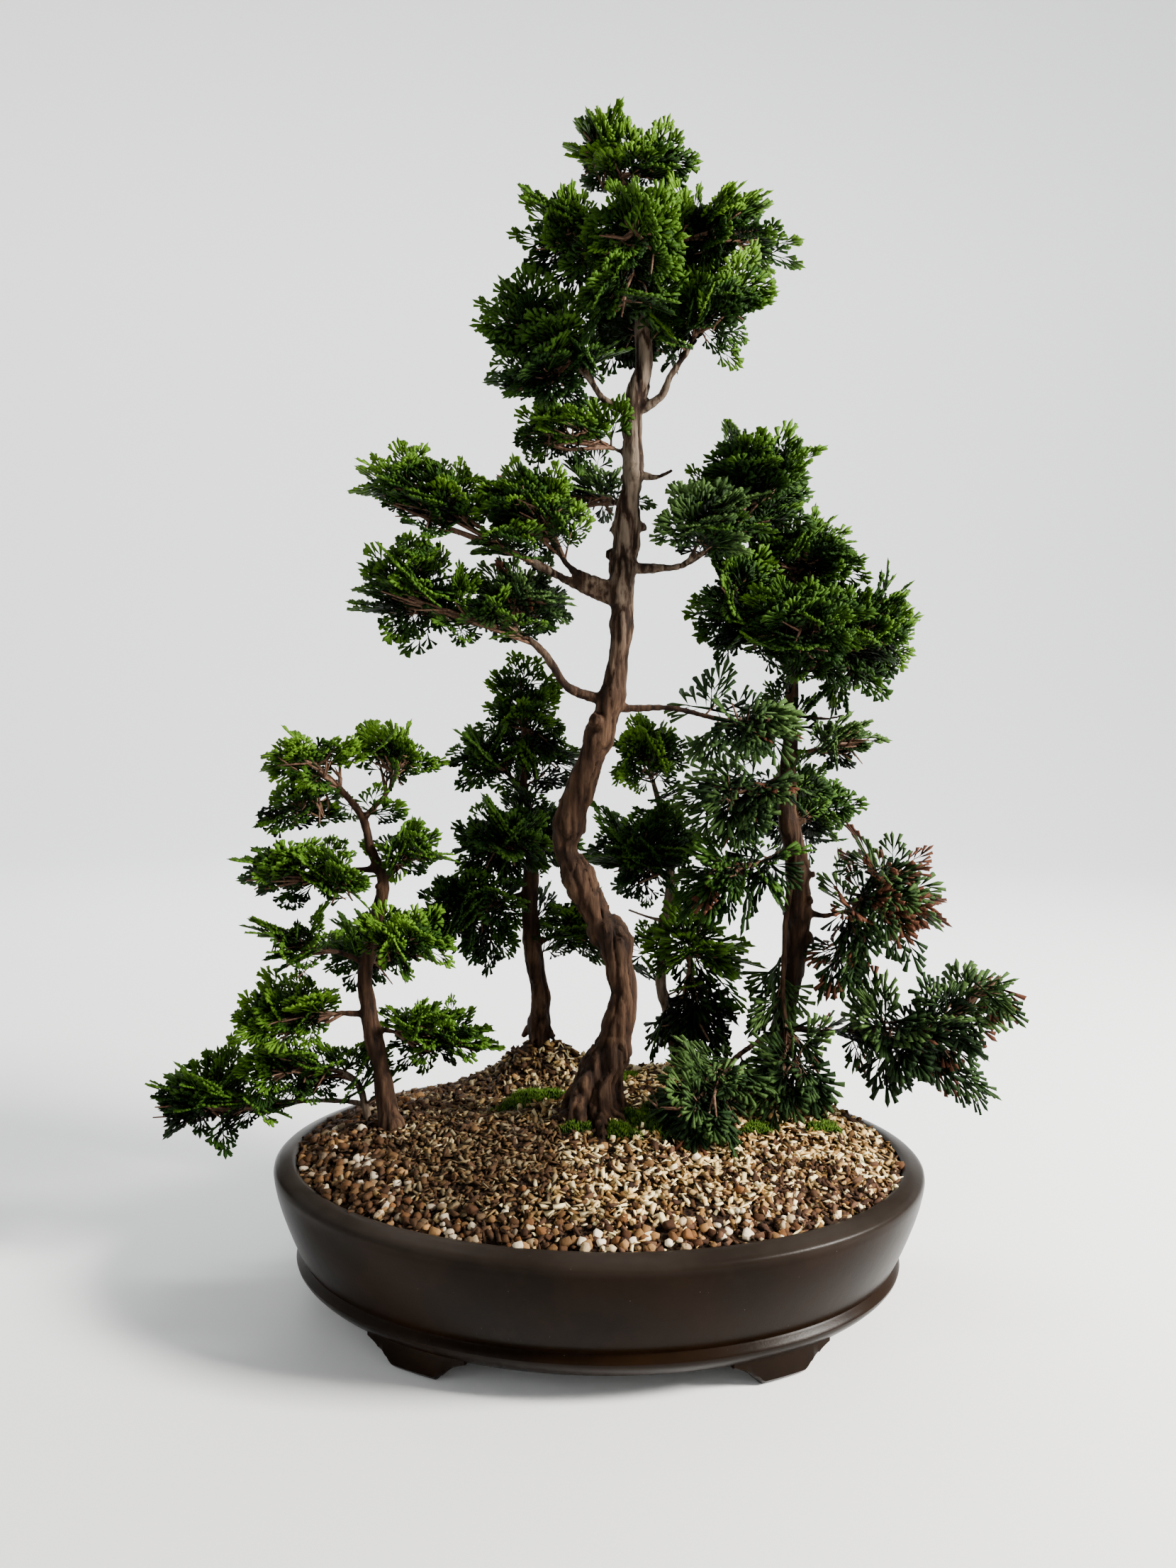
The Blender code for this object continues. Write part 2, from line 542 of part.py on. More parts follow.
def make_pot(parts):
    """The pot: a lofted wall and floor, four feet and two drains."""
    rings = [oval_ring(inset, height) for inset, height in POT_OUTSIDE + POT_INSIDE]
    pot = loft("pot", rings, parts)
    feet = [foot("foot", angle, parts) for angle in FOOT_ANGLES]
    combine(pot, feet, "UNION")
    drains = [cylinder("drain", place, DRAIN_RADIUS, UNDERSIDE_HEIGHT - CUT_PAST,
                       FLOOR_HEIGHT + CUT_PAST, parts) for place in DRAIN_PLACES]
    combine(pot, drains, "DIFFERENCE")
    finish(pot, (0.045, 0.038, 0.034), 0.55)
    return pot


def make_screen(name, place, parts):
    """A plastic mesh that keeps the soil out of a drain."""
    low = FLOOR_HEIGHT + GAP
    half = SCREEN_SIZE / 2
    screen = block(name, (place[0] - half, place[1] - half, low),
                   (place[0] + half, place[1] + half, low + SCREEN_THICKNESS), parts)
    pitch = (SCREEN_SIZE - SCREEN_BAR) / SCREEN_MESHES
    windows = []
    for i in range(SCREEN_MESHES):
        for j in range(SCREEN_MESHES):
            x = place[0] - half + SCREEN_BAR + i * pitch
            y = place[1] - half + SCREEN_BAR + j * pitch
            far_x, far_y = x + pitch - SCREEN_BAR, y + pitch - SCREEN_BAR
            windows.append(block("window", (x, y, low - CUT_PAST),
                                 (far_x, far_y, low + CUT_PAST), parts))
    combine(screen, windows, "DIFFERENCE")
    finish(screen, (0.02, 0.02, 0.02), 0.6)
    return screen


def rim_share(x, y):
    """The squared share of the way from the pot's middle to the soil's edge."""
    return (x / (POT_LENGTH / 2 - LIP_WIDTH)) ** 2 + (y / (POT_WIDTH / 2 - LIP_WIDTH)) ** 2


def soil_height(x, y):
    """The height of the soil's surface, before it is crumbled."""
    share = rim_share(x, y)
    if share >= 1.0:
        return SOIL_RIM
    fade = min(1.0, (1.0 - share) / RIM_FADE)
    swell = 0.0
    for middle_x, middle_y, height, spread in SWELLINGS:
        distance = (x - middle_x) ** 2 + (y - middle_y) ** 2
        swell += height * math.exp(-distance / (2 * spread ** 2))
    return SOIL_RIM + DOME_RISE * math.sqrt(1.0 - share) + fade * swell


def make_soil(parts, cutters):
    """The soil fills the pot, heaped and crumbled, with a hole for each trunk and root."""
    rng = random.Random(11)
    section = list(reversed(POT_INSIDE[1:]))
    floor_inset = section[0][0]
    rings = [oval_ring(floor_inset + GAP, FLOOR_HEIGHT + GAP)]
    rings += [oval_ring(inset + GAP, height) for inset, height in section[1:]]
    for ring in range(1, SOIL_RINGS):
        share = 1.0 - ring / SOIL_RINGS
        row = []
        for i in range(POT_SIDES):
            angle = math.tau * (i + 0.5 * (ring % 2)) / POT_SIDES
            x = (POT_LENGTH / 2 - LIP_WIDTH - GAP) * math.cos(angle) * share
            y = (POT_WIDTH / 2 - LIP_WIDTH - GAP) * math.sin(angle) * share
            row.append((x, y, soil_height(x, y) + rng.uniform(-CRUMB, CRUMB)))
        rings.append(row)
    soil = loft("soil", rings, parts)
    split_faces(soil)
    combine(soil, cutters, "DIFFERENCE")
    finish(soil, (0.42, 0.29, 0.16), 0.95)
    return soil


def trunk_rings(tree, grow=0.0):
    """The rings of a trunk: lobed where it flares at its foot, and round higher up."""
    route = [Vector(point[:3]) for point in tree.trunk]
    count, depth = tree.lobes
    rings = []
    side = Vector((1.0, 0.0, 0.0))
    for i, point in enumerate(tree.trunk):
        ahead = route[min(i + 1, len(route) - 1)]
        behind = route[max(i - 1, 0)]
        heading = (ahead - behind).normalized()
        side = (side - heading * side.dot(heading)).normalized()
        other = heading.cross(side)
        lobe = depth * max(0.0, 1.0 - i / FLARE_POINTS)
        ring = []
        for k in range(tree.sides):
            angle = math.tau * k / tree.sides
            radius = (point[3] + grow) * (1.0 + lobe * math.cos(count * angle + i))
            ring.append(route[i] + radius * (side * math.cos(angle) + other * math.sin(angle)))
        rings.append(ring)
    return rings


def root_route(tree, root, grow=0.0):
    """A root's route from inside the trunk's foot, over the soil and down into it."""
    foot_x, foot_y = tree.trunk[1][0], tree.trunk[1][1]
    heading = math.radians(root.angle)
    route = []
    for share, lift in ROOT_POINTS:
        away = root.reach * share
        if share == 1.0:
            away += grow
        x = foot_x + math.cos(heading) * away
        y = foot_y + math.sin(heading) * away
        route.append((x, y, soil_height(x, y) + lift))
    return route


def make_root(tree, root, grow, collection):
    """A tapering surface root."""
    route = root_route(tree, root, grow)
    radii = tapering(root.radius + grow, root.radius * ROOT_TIP_SHARE + grow, len(route))
    return tube("root", route, radii, collection)


def soil_cutters(tree, collection):
    """The foot of a tree, a gap larger, which leaves its hole in the soil."""
    rings = trunk_rings(tree, HOLE_GAP)[:3]
    rings[0] = [point - Vector((0.0, 0.0, GAP)) for point in rings[0]]
    cutters = [loft("hole", rings, collection)]
    cutters += [make_root(tree, root, HOLE_GAP, collection) for root in tree.roots]
    return cutters


def make_tree(tree, parts):
    """A trunk with its branches and surface roots, in one solid."""
    item = loft(tree.name, trunk_rings(tree), parts)
    limbs = [tube(branch.name, branch.route, tapering(*branch.radii, len(branch.route)), parts)
             for branch in tree.branches]
    limbs += [make_root(tree, root, 0.0, parts) for root in tree.roots]
    combine(item, limbs, "UNION")
    finish(item, tree.colour, 0.85)
    return item


def blade(length, width, rng, grow=0.0):
    """A flat lobed fan: points in its own frame, and its faces.

    It runs along +X from its root, with its fingers spread to both sides of a middle one.
    Grow makes it larger all round.
    """
    palm = PALM_SHARE * length
    fingers = next(count for longest, count in FINGER_COUNTS if length < longest)
    spread = rng.uniform(*FAN_SPREADS)
    tips = []
    for i in range(fingers):
        turn = 2.0 * i / (fingers - 1) - 1.0
        angle = turn * spread + rng.uniform(-FINGER_TURN, FINGER_TURN)
        reach = (length - palm) * (1.0 - OUTER_FINGER_LOSS * turn * turn)
        tips.append((angle, reach * rng.uniform(*FINGER_REACHES)))
    outline = [(0.0, 0.0)]
    for i, (angle, reach) in enumerate(tips):
        outline.append((palm + reach * math.cos(angle), reach * math.sin(angle) * width))
        if i + 1 < fingers:
            between = (angle + tips[i + 1][0]) / 2
            depth = (reach + tips[i + 1][1]) / 2 * rng.uniform(*NOTCH_SHARES)
            outline.append((palm + depth * math.cos(between), depth * math.sin(between) * width))
    flat = [Vector((x, y, 0.0)) for x, y in outline]
    if grow:
        middle = sum(flat, Vector()) / len(flat)
        flat = [point + (point - middle).normalized() * 1.5 * grow for point in flat]
    rise = Vector((0.0, 0.0, BLADE_THICKNESS / 2 + grow))
    points = [point + rise for point in flat] + [point - rise for point in flat]
    count = len(flat)
    faces = [tuple(range(count)), tuple(reversed(range(count, 2 * count)))]
    for i in range(count):
        j = (i + 1) % count
        faces.append((i, count + i, count + j, j))
    return points, faces


def fan_direction(index, count, onward):
    """Directions spread evenly over the cap round a heading, from ahead to a little behind."""
    ahead = FORWARD_MOST - BACKWARD_TURN * (index + 0.5) / count
    turn = index * GOLDEN_ANGLE + 0.6
    out = math.sqrt(1.0 - ahead * ahead)
    frame = onward.to_track_quat("X", "Z").to_matrix()
    return frame @ Vector((ahead, out * math.cos(turn), out * math.sin(turn)))


def along_route(route, share):
    """The point at a share of a route's points."""
    place = share * (len(route) - 1)
    index = min(int(place), len(route) - 2)
    return Vector(route[index]).lerp(Vector(route[index + 1]), place - index)


def above_ground(points):
    """Whether points keep clear of the soil's surface."""
    for point in points:
        if rim_share(point.x, point.y) < 1.0:
            if point.z < soil_height(point.x, point.y) + SOIL_CLEARANCE:
                return False
        elif point.z < SOIL_CLEARANCE:
            return False
    return True


def placed(points, root, heading, roll):
    """Turn points along a heading, rolled about it, with their origin at the root."""
    frame = heading.to_track_quat("X", "Z").to_matrix() @ Matrix.Rotation(roll, 3, "X")
    return [root + frame @ point for point in points]


def strained(bounds, strain):
    """A value that grows by a span with strain, given as its least value and its span."""
    least, span = bounds
    return least + span * strain


def draw_blade(cluster, route, direction, share, rng, obstacles, own):
    """Draw one blade of a cluster that crosses nothing, or None.

    Each failed draw makes the next a little narrower and shorter, and lets it wander more.
    """
    middle, radii = Vector(cluster.centre), Vector(cluster.radii)
    shortest, longest = BLADE_LENGTHS
    nearest, furthest = ROOT_SHARES
    for attempt in range(BLADE_DRAWS):
        strain = attempt / BLADE_DRAWS
        wander = strained(AIM_WANDER, strain)
        aim = direction + Vector([rng.uniform(-wander, wander) for _ in range(3)])
        aim.normalize()
        reach = BLADE_REACH - REACH_LOSS * strain
        target = middle + Vector([radii[k] * aim[k] * reach for k in range(3)])
        shift = strained(ROOT_WANDER, strain)
        spot = share + rng.uniform(-shift, shift)
        root = along_route(route, min(furthest, max(nearest, spot)))
        heading = target - root
        length = heading.length
        if not shortest < length < longest:
            continue
        width = rng.uniform(*FAN_WIDTHS) - WIDTH_LOSS * strain
        roll = math.pi / 2 + rng.uniform(-FAN_ROLL, FAN_ROLL)
        seed = rng.random()
        wide, faces = blade(length, width, random.Random(seed), BLADE_CLEARANCE)
        wide = placed(wide, root, heading, roll)
        if not above_ground(wide):
            continue
        tree = BVHTree.FromPolygons(wide, faces)
        if any(tree.overlap(other) for other in obstacles):
            continue
        points, faces = blade(length, width, random.Random(seed))
        points = placed(points, root, heading, roll)
        tree = BVHTree.FromPolygons(points, faces)
        if any(tree.overlap(other) for other in own):
            continue
        own.append(tree)
        return points, faces
    return None


def twig_route(start, heading, cluster):
    """A cluster's twig: from where it springs, through the cluster's middle, to its far end."""
    start, middle = Vector(start), Vector(cluster.centre)
    onward = (middle - start).normalized()
    reach = Vector([onward[k] * cluster.radii[k] for k in range(3)]).length
    return [start, start + heading * TWIG_STUB, middle, middle + onward * reach * CORE_END]


def make_twig(route, radius, cluster, parts, obstacles):
    """A twig with the widest core that clears its neighbours."""
    size = sum(cluster.radii) / 3
    for share in CORE_SHARES:
        radii = [radius, radius, size * share, TWIG_TIP]
        twig = tube("twig", route, radii, parts)
        tree = search_tree(twig)
        if share == CORE_SHARES[-1] or not any(tree.overlap(other) for other in obstacles):
            return twig
        bpy.data.objects.remove(twig, do_unlink=True)
    return None


def grow_cluster(cluster, route, rng, parts, obstacles, own):
    """The blades of one cluster, as objects."""
    along = route[:3]
    onward = (along[-1] - along[0]).normalized()
    aims = [fan_direction(index, cluster.blades, onward) for index in range(cluster.blades)]
    aims.sort(key=onward.dot)
    nearest, furthest = ROOT_SHARES
    blades = []
    for rank, aim in enumerate(aims):
        share = nearest + (furthest - nearest) * (rank + 0.5) / len(aims)
        drawn = draw_blade(cluster, along, aim, share, rng, obstacles, own)
        if drawn:
            blades.append(mesh_object("blade", *drawn, parts))
    return blades


def make_frond(frond, end, heading, parts, obstacles):
    """The foliage of one branch: twigs with their blades, in one solid."""
    rng = random.Random("blades of " + frond.branch)
    first, *others = frond.clusters
    first_route = twig_route(end + heading * GAP, heading, first)
    routes = [first_route]
    for cluster in others:
        start = along_route(first_route[:3], cluster.springs_at)
        onward = (Vector(cluster.centre) - start).normalized()
        routes.append(twig_route(start, onward, cluster))
    twigs, blades, own = [], [], []
    for cluster, route in zip(frond.clusters, routes):
        radius = SIDE_TWIG_RADIUS if twigs else TWIG_RADIUS
        twigs.append(make_twig(route, radius, cluster, parts, obstacles))
        blades += grow_cluster(cluster, route, rng, parts, obstacles, own)
    base, *other_twigs = twigs
    base.name = "frond_" + frond.branch
    combine(base, other_twigs + blades, "UNION")
    finish(base, frond.colour, 0.7)
    return base


def branch_ends():
    """Each branch's and each trunk's flat end, with its heading."""
    ends = {}
    for tree in TREES:
        routes = [(branch.name, branch.route) for branch in tree.branches]
        routes.append((tree.name, [point[:3] for point in tree.trunk]))
        for name, route in routes:
            last, before = Vector(route[-1]), Vector(route[-2])
            ends[name] = (last, (last - before).normalized())
    return ends


def screen_recess(place, parts):
    """The room that a drain screen takes in the soil's underside."""
    reach = SCREEN_SIZE / 2 + GAP
    x, y = place
    return block("recess", (x - reach, y - reach, FLOOR_HEIGHT - CUT_PAST),
                 (x + reach, y + reach, FLOOR_HEIGHT + SCREEN_THICKNESS + 2 * GAP), parts)


def main():
    """Build the pot, the soil, the trees and their fronds."""
    clear_scene()
    parts = new_collection("hinoki_forest_bonsai")
    made = [make_pot(parts)]
    for side, place in zip(("left", "right"), DRAIN_PLACES):
        made.append(make_screen("drain_screen_" + side, place, parts))
    cutters = [screen_recess(place, parts) for place in DRAIN_PLACES]
    for tree in TREES:
        cutters += soil_cutters(tree, parts)
    made.append(make_soil(parts, cutters))
    made += [make_tree(tree, parts) for tree in TREES]
    obstacles = [search_tree(item) for item in made]
    ends = branch_ends()
    for frond in FRONDS:
        end, heading = ends[frond.branch]
        item = make_frond(frond, end, heading, parts, obstacles)
        obstacles.append(search_tree(item))
        made.append(item)
    stand = bpy.data.objects.new("stand_point", None)
    parts.objects.link(stand)
    stand.location = Vector(POT_PLACE) * MM
    for item in made:
        item.parent = stand
    bpy.context.view_layer.update()


main()
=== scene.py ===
"""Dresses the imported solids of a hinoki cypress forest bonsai.

Lengths are in millimetres unless a comment says metres, measured from the middle of the pot's
footprint on the surface that the pot stands on: +X to the viewer's right, +Y away from the viewer,
+Z up. Meshes are in metres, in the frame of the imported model.
"""
import json
import logging
import math
from dataclasses import dataclass, field
from enum import Enum
from typing import Any, Callable, Optional, Sequence, Union

import bpy
import numpy as np
from mathutils import Matrix, Vector, noise
from mathutils.bvhtree import BVHTree


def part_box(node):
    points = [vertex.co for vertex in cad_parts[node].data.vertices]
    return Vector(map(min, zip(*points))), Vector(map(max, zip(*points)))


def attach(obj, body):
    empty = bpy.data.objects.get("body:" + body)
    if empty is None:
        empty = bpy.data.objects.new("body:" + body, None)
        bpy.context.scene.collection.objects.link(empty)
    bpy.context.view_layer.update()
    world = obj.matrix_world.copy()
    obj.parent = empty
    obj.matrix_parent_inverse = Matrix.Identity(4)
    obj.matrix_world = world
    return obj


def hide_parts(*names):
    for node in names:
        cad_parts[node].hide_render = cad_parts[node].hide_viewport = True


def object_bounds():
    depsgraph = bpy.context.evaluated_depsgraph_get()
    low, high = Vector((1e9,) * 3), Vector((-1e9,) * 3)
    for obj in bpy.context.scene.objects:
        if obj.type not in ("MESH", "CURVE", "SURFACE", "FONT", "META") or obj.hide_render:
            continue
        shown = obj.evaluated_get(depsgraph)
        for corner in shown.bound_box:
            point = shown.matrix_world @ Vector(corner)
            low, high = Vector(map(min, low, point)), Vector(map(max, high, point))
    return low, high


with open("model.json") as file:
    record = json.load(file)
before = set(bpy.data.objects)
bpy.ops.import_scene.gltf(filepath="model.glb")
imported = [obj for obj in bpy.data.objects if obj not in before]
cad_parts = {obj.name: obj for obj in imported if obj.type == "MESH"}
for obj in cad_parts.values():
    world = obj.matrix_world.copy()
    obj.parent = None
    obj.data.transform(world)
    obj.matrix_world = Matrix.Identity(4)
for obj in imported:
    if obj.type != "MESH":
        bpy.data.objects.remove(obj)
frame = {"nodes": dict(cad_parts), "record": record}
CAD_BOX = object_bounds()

log = logging.getLogger("bonsai")

MM = 0.001
BODY = "root"
# How far the tips of sprays may stand out of the solids' box, and how far under its top they end.
PROUD, UNDER_TOP = 4.0 * MM, 5.0 * MM
# How high over the footprint a ray starts that looks for the ground.
RAY_START = 300.0
Colour = tuple[float, float, float]
Point = tuple[float, float, float]
Piece = bpy.types.Object
Array = np.ndarray
Draws = np.random.Generator
# Points along a trunk or twig, each with x, y, z and a radius.
Route = list[Union[Array, tuple]]


def pot_middle() -> Vector:
    """The middle of the pot's footprint in the model's frame, in metres."""
    low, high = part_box("pot")
    return Vector(((low.x + high.x) / 2, (low.y + high.y) / 2, low.z))


MIDDLE = pot_middle()


def to_frame(point: Sequence[float]) -> Vector:
    """Move a point from millimetres about the pot's middle to the model's frame."""
    return Vector(point) * MM + MIDDLE


# Shader maths


class Signal:
    """A socket of a shader graph that can be used in expressions."""

    def __init__(self, graph: "Graph", socket: bpy.types.NodeSocket) -> None:
        """Wrap a socket of a graph."""
        self.graph = graph
        self.socket = socket

    def _join(self, operation: str, first: "Value", second: "Value") -> "Signal":
        """Add one Math node."""
        return self.graph.node("ShaderNodeMath", {"operation": operation}, {0: first, 1: second})

    def __add__(self, other: "Value") -> "Signal":
        """Self plus a value."""
        return self._join("ADD", self, other)

    def __radd__(self, other: "Value") -> "Signal":
        """A value plus self."""
        return self._join("ADD", other, self)

    def __sub__(self, other: "Value") -> "Signal":
        """Self less a value."""
        return self._join("SUBTRACT", self, other)

    def __rsub__(self, other: "Value") -> "Signal":
        """A value less self."""
        return self._join("SUBTRACT", other, self)

    def __mul__(self, other: "Value") -> "Signal":
        """Self times a value."""
        return self._join("MULTIPLY", self, other)

    def __rmul__(self, other: "Value") -> "Signal":
        """A value times self."""
        return self._join("MULTIPLY", other, self)

    def above(self, edge: float) -> "Signal":
        """One where the signal passes an edge, and zero elsewhere."""
        return self._join("GREATER_THAN", self, edge)

    def between(self, low: float, high: float) -> "Signal":
        """Stretch the part of the signal between two values over zero to one, smoothly."""
        return self.graph.node(
            "ShaderNodeMapRange", {"interpolation_type": "SMOOTHSTEP", "clamp": True},
            {"Value": self, "From Min": low, "From Max": high, "To Min": 0.0, "To Max": 1.0})


Value = Union[Signal, float, Sequence[float]]


class Graph:
    """The node graph of one material, round its Principled BSDF."""

    def __init__(self, name: str) -> None:
        """Make a named material with an empty graph."""
        self.material = bpy.data.materials.new(name)
        self.material.use_nodes = True
        self.nodes = self.material.node_tree.nodes
        self.links = self.material.node_tree.links
        self.surface = self.nodes["Principled BSDF"]

    def node(self, kind: str, settings: Optional[dict] = None, inputs: Optional[dict] = None,
             output: Union[int, str] = 0) -> Signal:
        """Add any node.

        Args:
            kind: the node's type.
            settings: its own settings, such as an operation, or the stops of a ramp.
            inputs: a value or a signal for each socket that isn't left alone.
            output: the socket to return.

        Returns:
            The signal of that output.
        """
        made = self.nodes.new(kind)
        for key, value in (settings or {}).items():
            if key == "stops":
                self._set_stops(made.color_ramp, value)
            else:
                setattr(made, key, value)
        for key, value in (inputs or {}).items():
            self.feed(made.inputs[key], value)
        return Signal(self, made.outputs[output])

    def feed(self, socket: bpy.types.NodeSocket, value: Value) -> None:
        """Link a signal to a socket, or set the socket's value."""
        if isinstance(value, Signal):
            self.links.new(value.socket, socket)
        elif hasattr(value, "__len__") and socket.type == "RGBA":
            socket.default_value = (*value[:3], 1.0)
        else:
            socket.default_value = value

    @staticmethod
    def _set_stops(ramp: bpy.types.ColorRamp, stops: Sequence[tuple[float, Colour]]) -> None:
        """Give a ramp its stops, in rising order."""
        while len(ramp.elements) < len(stops):
            ramp.elements.new(1.0)
        for element, (place, colour) in zip(ramp.elements, stops):
            element.position = place
            element.color = (*colour, 1.0)

    def place(self, stretch: Point = (1.0, 1.0, 1.0)) -> Signal:
        """Object coordinates, stretched by a scale for each axis."""
        raw = self.node("ShaderNodeTexCoord", output="Object")
        return self.node("ShaderNodeMapping", {"vector_type": "POINT"}, {"Vector": raw, "Scale": stretch})

    def noise(self, scale: float, detail: float = 3.0, stretch: Point = (1.0, 1.0, 1.0),
              roughness: float = 0.55) -> Signal:
        """Noise of a scale in cycles per metre."""
        return self.node(
            "ShaderNodeTexNoise", {"noise_dimensions": "3D"},
            {"Vector": self.place(stretch), "Scale": scale, "Detail": detail,
             "Roughness": roughness})

    def cells(self, scale: float) -> Signal:
        """Rounded cells of a scale in cycles per metre, dark in their middles."""
        return self.node("ShaderNodeTexVoronoi", inputs={"Vector": self.place(), "Scale": scale})

    def height(self) -> Signal:
        """How high a point lies, in metres."""
        return self.node("ShaderNodeSeparateXYZ", inputs={"Vector": self.place()}, output="Z")

    def mix(self, share: Value, first: Value, second: Value) -> Signal:
        """Blend two colours."""
        return self.node("ShaderNodeMix", {"data_type": "RGBA"}, {0: share, 6: first, 7: second}, output=2)

    def ramp(self, signal: Value, stops: Sequence[tuple[float, Colour]]) -> Signal:
        """Turn a signal into colours."""
        return self.node("ShaderNodeValToRGB", {"stops": stops}, {"Fac": signal})

    def part(self, attribute: str, channel: str) -> Signal:
        """One channel of a colour attribute: Red, Green or Blue."""
        colour = self.node("ShaderNodeAttribute", {"attribute_name": attribute}, output="Color")
        return self.node("ShaderNodeSeparateColor", inputs={"Color": colour}, output=channel)

    def bump(self, height: Signal, strength: float, distance: float) -> None:
        """Bend the surface's normal by a height."""
        bent = self.node("ShaderNodeBump", inputs={"Height": height, "Strength": strength,
                                                   "Distance": distance})
        self.feed(self.surface.inputs["Normal"], bent)

    def set(self, **values: Value) -> None:
        """Feed sockets of the surface, named with underscores for spaces."""
        for key, value in values.items():
            self.feed(self.surface.inputs[key.replace("_", " ")], value)


# Finishes


class Finish:
    """A named procedural material, made once."""

    made: dict[str, bpy.types.Material] = {}

    def paint(self, graph: Graph) -> None:
        """Build the finish's nodes."""
        raise NotImplementedError

    def material(self, name: str) -> bpy.types.Material:
        """The finish's material, built at its first use."""
        if name not in Finish.made:
            graph = Graph(name)
            self.paint(graph)
            Finish.made[name] = graph.material
        return Finish.made[name]

    def dress(self, piece: Piece, name: str) -> None:
        """Give a piece this finish and nothing else."""
        piece.data.materials.clear()
        piece.data.materials.append(self.material(name))


@dataclass(frozen=True)
class Stoneware(Finish):
    """Dark unglazed stoneware with a soft sheen, a few pale mineral specks and a paler lip that paints its
    reflection, with a little wear.
    """

    body: Colour = (0.0040, 0.0018, 0.0006)
    iron: Colour = (0.0088, 0.0038, 0.0012)
    dust: Colour = (0.0115, 0.0070, 0.0040)
    lip_sheen_and_wear: Colour = (0.0260, 0.0215, 0.0180)
    # The heights in metres between which the lip is painted paler: a painted reflection along its top, with
    # a little wear.
    lip_sheen_from: float = 0.079
    lip_sheen_to: float = 0.089
    speck: Colour = (0.22, 0.20, 0.17)

    def paint(self, graph: Graph) -> None:
        """Cloudy iron tones, fine grain, specks and a painted reflection on the lip."""
        clouds = graph.noise(14.0, 4.0).between(0.35, 0.7)
        grain = graph.noise(900.0, 2.0)
        colour = graph.mix(clouds, self.body, self.iron)
        colour = graph.mix(graph.noise(45.0, 6.0).between(0.58, 0.8) * 0.35, colour, self.dust)
        specks = (1.0 - graph.cells(230.0)).between(0.955, 0.975)
        rare = graph.noise(60.0, 1.0).between(0.56, 0.62)
        colour = graph.mix(specks * rare * 0.8, colour, self.speck)
        # Painted reflection: the lip is paler and greyer, as the light it reflects, with a little wear.
        lip = graph.height().between(self.lip_sheen_from, self.lip_sheen_to)
        colour = graph.mix(lip * (0.35 + 0.45 * clouds), colour, self.lip_sheen_and_wear)
        graph.set(Base_Color=colour, Roughness=0.25 + 0.04 * clouds + 0.08 * grain, Specular_IOR_Level=0.05)
        graph.bump(grain * 0.4 + graph.noise(140.0, 3.0) * 0.6, 0.22, 0.0005)


@dataclass(frozen=True)
class Bark(Finish):
    """Fibrous bark in long strips, with pale edges where it peels, darker in its furrows and paler on its
    ridges, partly as painted shade and painted highlight.

    The attribute tone holds in red how high the carved relief stands, from furrow to ridge, which darkens
    the furrows partly as painted shade and lightens the ridges partly as painted highlight.
    """

    furrow: Colour = (0.004, 0.002, 0.001)
    strip: Colour = (0.023, 0.0103, 0.0048)
    peel_and_highlight: Colour = (0.086, 0.047, 0.025)
    along: float = 0.13
    # The heights in metres between which the bark turns paler and greyer.
    pale_from: float = 0.36
    pale_to: float = 0.52
    pale: Colour = (0.165, 0.130, 0.096)

    def paint(self, graph: Graph) -> None:
        """Noise drawn out along the trunk."""
        stretch = (1.0, 1.0, self.along)
        relief = graph.part("tone", "Red")
        fibres = graph.noise(520.0, 6.0, stretch, 0.66)
        broad = graph.noise(150.0, 4.0, stretch)
        # The carved relief darkens the furrows as painted shade and lightens the ridges as painted
        # highlight, on top of the bark's own darker furrows.
        raised = 0.33 * relief + 0.50 * fibres + 0.17 * broad
        colour = graph.ramp(raised, [(0.28, self.furrow), (0.46, self.strip), (0.78, self.peel_and_highlight)])
        patches = graph.noise(38.0, 3.0).between(0.42, 0.66)
        colour = graph.mix(patches * 0.45, colour, self.furrow)
        high = graph.height().between(self.pale_from, self.pale_to)
        colour = graph.mix(high * raised.between(0.40, 0.62) * 0.7, colour, self.pale)
        graph.set(Base_Color=colour, Roughness=0.72 + 0.2 * fibres, Specular_IOR_Level=0.12)
        graph.bump(fibres * 0.6 + broad * 0.4, 1.0, 0.0018)


@dataclass(frozen=True)
class Foliage(Finish):
    """Scale leaves that brighten to their tips, with brown twigs and dead sprays.

    The attribute tone holds in red a brightness that rises to the tips and paints shade on sprays deep in a
    pad and light on those high in it; a draw for each spray in green; and in blue what the surface is: 0
    for leaf, a half for a dead spray and 1 for a twig.
    """

    deep: Colour = (0.0009, 0.0024, 0.0004)
    leaf: Colour = (0.0076, 0.0260, 0.0018)
    tip: Colour = (0.0620, 0.1400, 0.0100)
    dead: Colour = (0.056, 0.020, 0.010)
    twig: Colour = (0.120, 0.074, 0.049)

    def paint(self, graph: Graph) -> None:
        """Three greens by brightness, then what isn't leaf."""
        light = graph.part("tone", "Red")
        draw = graph.part("tone", "Green")
        kind = graph.part("tone", "Blue")
        mottle = graph.noise(260.0, 2.0)
        light = light + 0.24 * (mottle - 0.5) + 0.20 * (draw - 0.5)
        colour = graph.ramp(light, [(0.11, self.deep), (0.50, self.leaf), (1.0, self.tip)])
        scales = graph.cells(950.0)
        colour = graph.mix(scales.between(0.25, 0.75) * 0.35, colour, self.deep)
        colour = graph.mix(kind.above(0.25), colour, self.dead)
        wood = graph.ramp(graph.noise(500.0, 3.0), [(0.3, self.dead), (0.6, self.twig)])
        colour = graph.mix(kind.above(0.75), colour, wood)
        graph.set(Base_Color=colour, Roughness=0.52 + 0.15 * mottle, Specular_IOR_Level=0.06)
        graph.bump(scales, 0.4, 0.0004)


